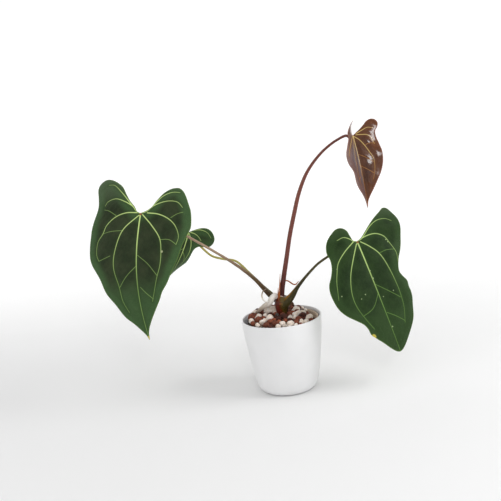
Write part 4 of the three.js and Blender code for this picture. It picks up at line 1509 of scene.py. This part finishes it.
def lamina_colour(finish, look, flat, patches, net, speckle):
    """Colour between the veins: panels, margin and tip, lobes lightened with a painted sheen,
    painted shade in the troughs of the quilting, a painted reflection on a left half where a look
    gives one, and the net of fine veins.
    """
    lamina = finish.mix(finish.between(patches, 0.35, 0.65), look["lamina"], look["lamina_light"])
    # painted shade: the troughs of the quilted relief are darkened towards the speckle colour
    quilt = finish.attribute("quilt")
    lamina = finish.mix(look["quilt_share"] * (1 - quilt), lamina, look["speckle"])
    # painted reflection: the left half of the young blade is mixed towards grey-lilac, as if it
    # mirrored bright surroundings
    if "painted_reflection" in look:
        side = finish.along_axis("X", flat)
        lamina = finish.mix(0.85 * finish.between(side, 1, -3), lamina, look["painted_reflection"])
    down = finish.along_axis("Y", flat)
    drift = 20 * (patches - 0.5)
    near_margin = 1 - finish.between(finish.attribute("margin_gap") + 0.6 * drift, 6, 20)
    near_tip = finish.between(down + drift, look["tip_from"], look["tip_from"] + 55)
    outer = finish.highest(near_margin, 0.85 * near_tip)
    lamina = finish.mix(look["margin_share"] * outer, lamina, look["margin"])
    # painted sheen: the lobes above the sinus are mixed towards a lighter, greyer colour
    lamina = finish.mix(0.7 * finish.between(down + drift, -10, -52), lamina, look["lobe_sheen"])
    halo = 1 - finish.between(finish.attribute("vein_gap"), 0.5, 7)
    lamina = finish.mix(look["halo_share"] * halo, lamina, look["halo"])
    lamina = finish.mix(look["net_share"] * net, lamina, look["halo"])
    return finish.mix(0.35 * finish.between(speckle, 0.45, 0.75), lamina, look["speckle"])


def leaf_skin(name, look, marks):
    """Leaf surface read in flat leaf millimetres: lamina, veins, net, edge, back and marks."""
    finish = Finish(name)
    flat = finish.attribute("leaf_place", "Vector")
    patches = finish.noise(flat, 0.03, 3.0)
    speckle = finish.noise(flat, 1.1, 4.0)
    bent = finish.noise(flat, 0.12, 2.0)
    shift = finish.node("ShaderNodeCombineXYZ", None, {"X": 5 * (bent - 0.5), "Y": 4 * (bent - 0.5)})
    net_place = finish.vector_math("ADD", {0: flat, 1: shift})
    net_cells = finish.cells(net_place, 0.16, "DISTANCE_TO_EDGE")
    net = 1 - finish.between(net_cells, 0.015, 0.09)
    surface = lamina_colour(finish, look, flat, patches, net, speckle)

    cross = 1 - finish.between(finish.attribute("cross_gap"), 0.15, 0.75)
    surface = finish.mix(look["cross_share"] * cross, surface, look["vein_far"])
    from_sinus = finish.vector_math("LENGTH", {0: flat}, "Value")
    faded = finish.between(from_sinus, look["vein_reach"] * 0.15, look["vein_reach"])
    beside = finish.attribute("vein_gap") - finish.attribute("vein_width")
    vein = 1 - finish.between(beside, -0.35, 0.45)
    surface = finish.mix(vein, surface, finish.mix(faded, look["vein"], look["vein_far"]))
    edge = 1 - finish.between(finish.attribute("margin_gap"), 0.35, 1.3)
    surface = finish.mix(0.7 * edge, surface, look["edge"])

    back = finish.mix(finish.between(patches, 0.3, 0.7), look["back"], dimmed(look["back"], 0.8))
    back = finish.mix(0.5 * net, back, look["back_vein"])
    back = finish.mix(finish.highest(vein, 0.6 * cross), back, look["back_vein"])
    underneath = finish.between(finish.attribute("underside"), 0.35, 0.65)
    surface = finish.mix(underneath, surface, back)
    for x, y, radius, colour in marks:
        away = finish.vector_math("DISTANCE", {0: flat, 1: (x, y, 0)}, "Value")
        ragged = away + 0.6 * radius * (speckle - 0.5)
        surface = finish.mix(1 - finish.between(ragged, 0.6 * radius, radius), surface, colour)

    fine = finish.noise(flat, look["grain"], 3.0)
    relief = finish.bump(0.5 * fine + 0.4 * net_cells, look["grain_depth"])
    relief = finish.bump(0.0 - net, 0.00015, relief)
    gloss = look["roughness"] + 0.12 * (speckle - 0.5) + 0.15 * vein + 0.15 * underneath
    return finish.surface(
        Base_Color=surface, Roughness=gloss, Normal=relief,
        Specular_IOR_Level=look["specular"], Sheen_Weight=look["sheen"],
        Sheen_Roughness=0.35, Sheen_Tint=look["sheen_tint"],
        Coat_Weight=look["coat"], Coat_Roughness=look["coat_roughness"],
    )


# Stage

def camera_place():
    """Camera matrix that sets the pot's foot where it stands in the picture."""
    pitch, roll = math.radians(CAMERA_PITCH), math.radians(CAMERA_ROLL)
    forward = np.array([0, math.cos(pitch), -math.sin(pitch)])
    level = np.array([1.0, 0, 0])
    up = np.cross(level, forward) * math.cos(roll) + level * math.sin(roll)
    right = np.cross(forward, up)
    focal = PICTURE * LENS / SENSOR
    off_right, off_down = (
        (pixel - PICTURE / 2) / focal * CAMERA_DISTANCE for pixel in FOOT_PIXEL)
    place = up * off_down - right * off_right - forward * CAMERA_DISTANCE
    matrix = Matrix.Translation(Vector(place * MM)).to_4x4()
    for column, axis in enumerate((right, up, -forward)):
        for row in range(3):
            matrix[row][column] = axis[row]
    return matrix


def floor_skin(colour, glow):
    """Matt floor, whose backdrop glows more the further back it is."""
    finish = Finish("pale_floor")
    depth = finish.along_axis("Y", finish.object_place())
    behind = finish.between(depth, 0.0, BACKDROP["glow_depth"] * MM)
    shine = finish.mix(behind, tone(0, 0, 0), tone(255, 255, 255))
    return finish.surface(
        Base_Color=colour, Roughness=0.9, Specular_IOR_Level=0.1,
        Emission_Color=shine, Emission_Strength=glow)


def add_camera(scene):
    """Adds the camera and makes it the scene's own."""
    lens = bpy.data.cameras.new("camera")
    lens.lens, lens.sensor_width = LENS, SENSOR
    lens.clip_start, lens.clip_end = CLIP
    camera = bpy.data.objects.new("camera", lens)
    camera.matrix_world = camera_place()
    scene.collection.objects.link(camera)
    scene.camera = camera


def soft_light(name, place, size, power):
    """Square light that faces the middle of the plant."""
    lamp = bpy.data.lights.new(name, "AREA")
    lamp.size = size * MM
    lamp.energy = power
    light = bpy.data.objects.new(name, lamp)
    light.location = Vector(place) * MM
    aim = Vector(PLANT_MIDDLE) * MM - light.location
    light.rotation_euler = aim.to_track_quat("-Z", "Y").to_euler()
    bpy.context.scene.collection.objects.link(light)


# Looks of the four blades: relief, colours and gloss, and the marks on their faces, each
# with its flat place, radius and colour

GREEN = {
    "vein_scale": 1.0, "pillow": 1.0,
    "lamina": tone(36, 46, 27), "lamina_light": tone(52, 61, 39),
    "margin": tone(66, 94, 56), "margin_share": 0.85, "tip_from": 95,
    # painted sheen: lighter, greyer colour for the lobes above the sinus
    "lobe_sheen": tone(80, 98, 70), "halo": tone(48, 70, 36), "halo_share": 0.4,
    # painted shade: share by which the quilting's troughs are darkened
    "net_share": 0.22, "quilt_share": 0.16,
    "speckle": tone(26, 34, 20), "vein": tone(198, 222, 138), "vein_far": tone(122, 152, 82),
    "vein_reach": 130, "cross_share": 0.85, "edge": tone(92, 120, 54),
    "back": tone(98, 118, 70), "back_vein": tone(152, 170, 110),
    "grain": 0.9, "grain_depth": 0.00012, "roughness": 0.6, "specular": 0.12,
    "sheen": 0.14, "sheen_tint": tone(200, 208, 186), "coat": 0.0, "coat_roughness": 0.3,
}
LOOKS = {
    "left": GREEN,
    "right": {
        **GREEN, "pillow": 0.7, "lamina": tone(28, 46, 20), "lamina_light": tone(42, 62, 30),
        "margin": tone(50, 72, 38), "lobe_sheen": tone(74, 88, 64),
        "vein": tone(176, 202, 124), "vein_far": tone(100, 134, 66),
        "roughness": 0.5, "specular": 0.08, "sheen": 0.03,
    },
    "back": {**GREEN, "pillow": 0.6, "vein_scale": 0.7, "vein_reach": 90, "tip_from": 30},
    "young": {
        **GREEN, "vein_scale": 0.75, "pillow": 0.6, "quilt_share": 0.1,
        "lamina": tone(62, 28, 8), "lamina_light": tone(94, 50, 20),
        "margin": tone(108, 58, 24), "margin_share": 0.4, "lobe_sheen": tone(96, 54, 28),
        "halo": tone(112, 66, 24), "speckle": tone(50, 24, 8),
        "vein": tone(226, 196, 116), "vein_far": tone(170, 112, 48),
        "vein_reach": 90, "edge": tone(128, 66, 34),
        "back": tone(128, 78, 56), "back_vein": tone(190, 150, 110),
        "grain_depth": 0.00005, "roughness": 0.34, "specular": 0.12, "sheen": 0.14,
        # painted reflection: grey-lilac colour for the left half of the blade
        "sheen_tint": tone(176, 182, 214), "painted_reflection": tone(98, 89, 94),
        "coat": 0.7, "coat_roughness": 0.1,
    },
}
RUST = tone(146, 88, 58)
PALE_SPOT = tone(150, 168, 124)
YELLOW_SPOT = tone(190, 176, 80)
SCAR = tone(170, 174, 134)
MARKS = {
    "left": [(0, 2, 2.4, RUST), (43.4, 66.3, 2.2, SCAR), (0, 206, 5, YELLOW_SPOT)],
    "right": [
        (0, 2, 2.2, RUST), (-39.5, 154.5, 5.2, YELLOW_SPOT), (1.5, 67.4, 1.3, PALE_SPOT),
        (1.4, 53.9, 1, PALE_SPOT), (27.7, 98.8, 1.2, PALE_SPOT), (-24.2, 87.1, 1.2, PALE_SPOT),
        (-33.4, 91.5, 1, PALE_SPOT), (6.3, 101.7, 1, PALE_SPOT), (-62.9, 76, 1.2, PALE_SPOT),
        (2.3, 153.6, 1.4, PALE_SPOT), (-51.5, 31.9, 1, PALE_SPOT), (49.8, 14, 1.3, PALE_SPOT),
        (51.6, 18.5, 1.1, PALE_SPOT),
    ],
}


# What a user would change

class PotSettings(bpy.types.PropertyGroup):
    """Sizes and colours of the two pots"""
    segments: bpy.props.IntProperty(
        name="Facets", description="Facets round each pot", default=160, min=48, max=256)
    white: bpy.props.FloatVectorProperty(
        name="Cover Pot", description="Colour of the cover pot", subtype="COLOR", size=4,
        min=0, max=1, default=(0.82, 0.82, 0.825, 1))
    tint: bpy.props.FloatVectorProperty(
        name="Clear Pot", description="Tint of the clear pot", subtype="COLOR", size=4,
        min=0, max=1, default=tone(214, 218, 224))
    residue: bpy.props.FloatVectorProperty(
        name="Residue", description="Colour of the dried residue on the clear pot",
        subtype="COLOR", size=4, min=0, max=1, default=tone(222, 200, 176))
    opacity: bpy.props.FloatProperty(
        name="Clouding", description="How much the clear pot hides", subtype="FACTOR",
        default=0.1, min=0, max=1)


class SubstrateSettings(bpy.types.PropertyGroup):
    """Stones and grit in the clear pot"""
    grain_size: bpy.props.FloatProperty(
        name="Largest Grain", description="Radius of the largest grain of grit",
        default=0.0013, min=0.0003, max=0.004, precision=4, unit="LENGTH")
    grains: bpy.props.FloatProperty(
        name="Grains", description="Grains of grit on a square metre", default=160000,
        min=0, max=400000)
    clay: bpy.props.FloatVectorProperty(
        name="Clay", description="Colour of the clay balls", subtype="COLOR", size=4,
        min=0, max=1, default=tone(150, 78, 52))
    pumice: bpy.props.FloatVectorProperty(
        name="Pumice", description="Colour of the pumice", subtype="COLOR", size=4,
        min=0, max=1, default=tone(244, 228, 214))
    lava: bpy.props.FloatVectorProperty(
        name="Lava", description="Colour of the cinders", subtype="COLOR", size=4,
        min=0, max=1, default=tone(92, 44, 30))


class StemSettings(bpy.types.PropertyGroup):
    """Stalks, crown, bracts and roots"""
    sides: bpy.props.IntProperty(
        name="Sides", description="Facets round each stalk", default=28, min=8, max=64)
    step: bpy.props.FloatProperty(
        name="Step", description="Distance between the rings of a stalk", default=0.0014,
        min=0.0008, max=0.01, precision=4, unit="LENGTH")
    gloss: bpy.props.FloatProperty(
        name="Roughness", description="Roughness of the stalks", subtype="FACTOR",
        default=0.38, min=0, max=1)
    bract: bpy.props.FloatVectorProperty(
        name="Bracts", description="Colour of the dried bracts", subtype="COLOR", size=4,
        min=0, max=1, default=tone(192, 104, 42))


class BladeSettings(bpy.types.PropertyGroup):
    """Relief and colours of the blades"""
    blade_grid: bpy.props.FloatProperty(
        name="Grid", description="Distance between the points of a blade", default=0.0013,
        min=0.0008, max=0.004, precision=4, unit="LENGTH")
    pillow_height: bpy.props.FloatProperty(
        name="Bulge", description="How far the panels between the veins bulge",
        default=0.0015, min=0, max=0.003, precision=4, unit="LENGTH")
    pillow_reach: bpy.props.FloatProperty(
        name="Bulge Reach", description="Distance from a vein at which a panel is full",
        default=0.007, min=0.002, max=0.02, precision=4, unit="LENGTH")
    pillow_margin: bpy.props.FloatProperty(
        name="Flat Margin", description="Distance from the margin at which the bulge starts",
        default=0.008, min=0.002, max=0.02, precision=4, unit="LENGTH")
    vein: bpy.props.FloatProperty(
        name="Vein Brightness", description="Brightness of the main veins near the stalk",
        default=1, min=0.2, max=2)


class StageSettings(bpy.types.PropertyGroup):
    """Light and floor"""
    key_power: bpy.props.FloatProperty(
        name="Key Light", description="Power of the large light on the right",
        default=15, min=0, max=200, unit="POWER")
    fill_power: bpy.props.FloatProperty(
        name="Fill Light", description="Power of the fill light on the left", default=3,
        min=0, max=200, unit="POWER")
    window_power: bpy.props.FloatProperty(
        name="Window Light", description="Power of the small light in front", default=4.5,
        min=0, max=200, unit="POWER")
    sky: bpy.props.FloatProperty(
        name="Surroundings", description="Brightness of the surroundings", default=0.55,
        min=0, max=2)
    glow: bpy.props.FloatProperty(
        name="Backdrop Glow", description="Brightness added to the back of the backdrop",
        default=0.28, min=0, max=2)
    floor: bpy.props.FloatVectorProperty(
        name="Floor", description="Colour of the floor and the backdrop", subtype="COLOR",
        size=4, min=0, max=1, default=(0.86, 0.86, 0.86, 1))


# Operators, one for each group of pieces

class ANTHURIUM_OT_pots(bpy.types.Operator):
    """Adds the white cover pot and the clear nursery pot that stands in it"""
    bl_idname = "anthurium.pots"
    bl_label = "Pots"

    def execute(self, context):
        settings = context.scene.anthurium_pots
        segments = settings.segments
        skin = white_plastic(tuple(settings.white))
        pot = turned("white_pot", cover_pot_profile(), segments, skin)
        place_piece(pot, "white_pot", "cover_pot")
        skin = clear_plastic(tuple(settings.tint), tuple(settings.residue), settings.opacity)
        pot = turned("clear_pot", nursery_profile(), segments, skin)
        place_piece(pot, "clear_pot", "nursery_pot")
        return {"FINISHED"}


class ANTHURIUM_OT_substrate(bpy.types.Operator):
    """Fills the clear pot with clay balls, pumice, cinders, a bark chip and grit"""
    bl_idname = "anthurium.substrate"
    bl_label = "Substrate"

    def execute(self, context):
        settings = context.scene.anthurium_substrate
        pumice, lava = pumice_stone(tuple(settings.pumice)), lava_stone(tuple(settings.lava))
        skins = {
            "clay": clay_ball(tuple(settings.clay)), "pumice": pumice, "lava": lava,
            "holed": lava, "wedge": pumice, "bark": bark_chip(),
        }
        recipe = stones_recipe()
        stones = stone_places()
        for name, kind in STONE_KINDS.items():
            shelf = shape_shelf(name, [
                pebble(f"{name}_{i}", kind["seed"] + i, kind) for i in range(kind["shapes"])])
            chosen = [stone for stone in stones if stone[0] == name]
            piece = stone_points(kind["piece"], chosen)
            recipe.grow(
                piece, shapes=shelf, seed=FILL["seed"], roughening=kind["roughening"] * MM,
                grain=kind["grain"], pit_depth=kind["pit_depth"] * MM,
                pit_grain=kind["pit_grain"], turn=kind["turn"], material=skins[name],
            )
            place_piece(piece, "substrate", "substrate")
            clear_shelf(shelf)
        core = heap("substrate_fill", heap_fill())
        place_piece(core, "substrate", "substrate")
        crumbs = shape_shelf("crumbs", [
            crumb(f"crumb_{i}", GRIT["crumb_seed"] + i) for i in range(GRIT["crumb_shapes"])])
        grit = grit_bed("grit_bed")
        grit_recipe().grow(
            grit, shapes=crumbs, seed=FILL["seed"], grains=settings.grains,
            smallest=GRIT["smallest"] * settings.grain_size, largest=settings.grain_size,
            material=mixed_grit(),
        )
        place_piece(grit, "substrate", "substrate")
        clear_shelf(crumbs)
        return {"FINISHED"}


class ANTHURIUM_OT_stalks(bpy.types.Operator):
    """Adds the crown and the four leaf stalks that rise from it"""
    bl_idname = "anthurium.stalks"
    bl_label = "Crown and Stalks"

    def execute(self, context):
        settings = context.scene.anthurium_stems
        recipe = stem_recipe()
        crown = stem(recipe, "stem_base", CROWN, crown_skin())
        place_piece(crown, "crown", "crown")
        for name, stalk in STALKS.items():
            skin = stalk_skin(
                f"{name}_stalk_skin", stalk["colours"], stalk["ridge"], settings.gloss)
            piece = stem(recipe, f"{name}_stalk", stalk_shape(name, settings), skin)
            place_piece(piece, f"{name}_stalk", f"{name}_leaf_stalk")
        return {"FINISHED"}


class ANTHURIUM_OT_blades(bpy.types.Operator):
    """Adds the four leaf blades with their veins and marks"""
    bl_idname = "anthurium.blades"
    bl_label = "Leaf Blades"

    def execute(self, context):
        settings = context.scene.anthurium_blades
        for name, leaf in LEAVES.items():
            look = LOOKS[name]
            look = {**look, "vein": dimmed(look["vein"], settings.vein)}
            skin = leaf_skin(f"{name}_leaf_skin", look, MARKS.get(name, []))
            blade = leaf_blade(f"{name}_blade", leaf, look, settings, skin)
            slot = "brown_blade" if name == "young" else "green_blade"
            place_piece(blade, slot, f"{name}_leaf_blade")
        return {"FINISHED"}


class ANTHURIUM_OT_bracts(bpy.types.Operator):
    """Adds the dried bracts and the curled collar at the crown, and the torn thread"""
    bl_idname = "anthurium.bracts"
    bl_label = "Bracts"

    def execute(self, context):
        settings = context.scene.anthurium_stems
        skin = papery_sheath(tuple(settings.bract))
        for name, shape, finish, node in (
            ("tall_sheath", TALL_BRACT, skin, "tall_bract"),
            ("short_sheath", SHORT_BRACT, skin, "short_bract"),
            ("crown_collar", COLLAR, collar_skin(), "short_bract"),
        ):
            place_piece(curled_sheath(name, shape, finish), "bract", node)
        thread = stem(stem_recipe(), "torn_thread", BRACT_THREAD, skin)
        place_piece(thread, "bract", "bract_thread")
        return {"FINISHED"}


class ANTHURIUM_OT_roots(bpy.types.Operator):
    """Adds the white aerial root that bends from the crown to the stones, and the root loop"""
    bl_idname = "anthurium.roots"
    bl_label = "Aerial Roots"

    def execute(self, context):
        recipe = stem_recipe()
        skin = root_skin()
        root = stem(recipe, "white_root", AERIAL_ROOT, skin)
        place_piece(root, "root", "aerial_root")
        loop = stem(recipe, "small_root", ROOT_LOOP, skin)
        place_piece(loop, "root", "root_loop")
        return {"FINISHED"}


class ANTHURIUM_OT_stage(bpy.types.Operator):
    """Adds the floor with its round backdrop, soft lights and the camera"""
    bl_idname = "anthurium.stage"
    bl_label = "Stage"

    def execute(self, context):
        settings = context.scene.anthurium_stage
        skin = floor_skin(tuple(settings.floor), settings.glow)
        bend = arc(BACKDROP["bend_centre"], BACKDROP["bend"], -90, 0, 9)
        profile = [(0, 0), (FLOOR_REACH / 2, 0), (FLOOR_REACH, 0), *bend, BACKDROP["top"]]
        floor = turned("floor", profile, BACKDROP["facets"], skin, closed=False)
        for name, (place, size) in LIGHTS.items():
            soft_light(f"{name}_light", place, size, getattr(settings, f"{name}_power"))
        scene = context.scene
        scene.world = bpy.data.worlds.new("surroundings")
        scene.world.use_nodes = True
        sky = scene.world.node_tree.nodes["Background"].inputs
        sky["Color"].default_value = tone(255, 255, 255)
        sky["Strength"].default_value = settings.sky
        add_camera(scene)
        scene.view_settings.view_transform = "Standard"
        return {"FINISHED"}


class ANTHURIUM_PT_sidebar(bpy.types.Panel):
    """Lists the pieces and what can be changed in them"""
    bl_label = "Potted Anthurium"
    bl_space_type = "VIEW_3D"
    bl_region_type = "UI"
    bl_category = "Anthurium"

    def draw(self, context):
        for operator, group in STEPS:
            box = self.layout.box()
            box.operator(operator.bl_idname)
            if group:
                settings = getattr(context.scene, group)
                for name in settings.__annotations__:
                    box.prop(settings, name)


STEPS = [
    (ANTHURIUM_OT_pots, "anthurium_pots"),
    (ANTHURIUM_OT_substrate, "anthurium_substrate"),
    (ANTHURIUM_OT_stalks, "anthurium_stems"),
    (ANTHURIUM_OT_blades, "anthurium_blades"),
    (ANTHURIUM_OT_bracts, None),
    (ANTHURIUM_OT_roots, None),
    (ANTHURIUM_OT_stage, "anthurium_stage"),
]
GROUPS = {
    "anthurium_pots": PotSettings,
    "anthurium_substrate": SubstrateSettings,
    "anthurium_stems": StemSettings,
    "anthurium_blades": BladeSettings,
    "anthurium_stage": StageSettings,
}


def register():
    for name, group in GROUPS.items():
        bpy.utils.register_class(group)
        setattr(bpy.types.Scene, name, bpy.props.PointerProperty(type=group))
    for operator, _ in STEPS:
        bpy.utils.register_class(operator)
    bpy.utils.register_class(ANTHURIUM_PT_sidebar)


def unregister():
    bpy.utils.unregister_class(ANTHURIUM_PT_sidebar)
    for operator, _ in reversed(STEPS):
        bpy.utils.unregister_class(operator)
    for name, group in reversed(GROUPS.items()):
        delattr(bpy.types.Scene, name)
        bpy.utils.unregister_class(group)


def main():
    register()
    bpy.ops.anthurium.pots()
    bpy.ops.anthurium.substrate()
    bpy.ops.anthurium.stalks()
    bpy.ops.anthurium.blades()
    bpy.ops.anthurium.bracts()
    bpy.ops.anthurium.roots()
    bpy.ops.anthurium.stage()


if __name__ == "__main__":
    main()
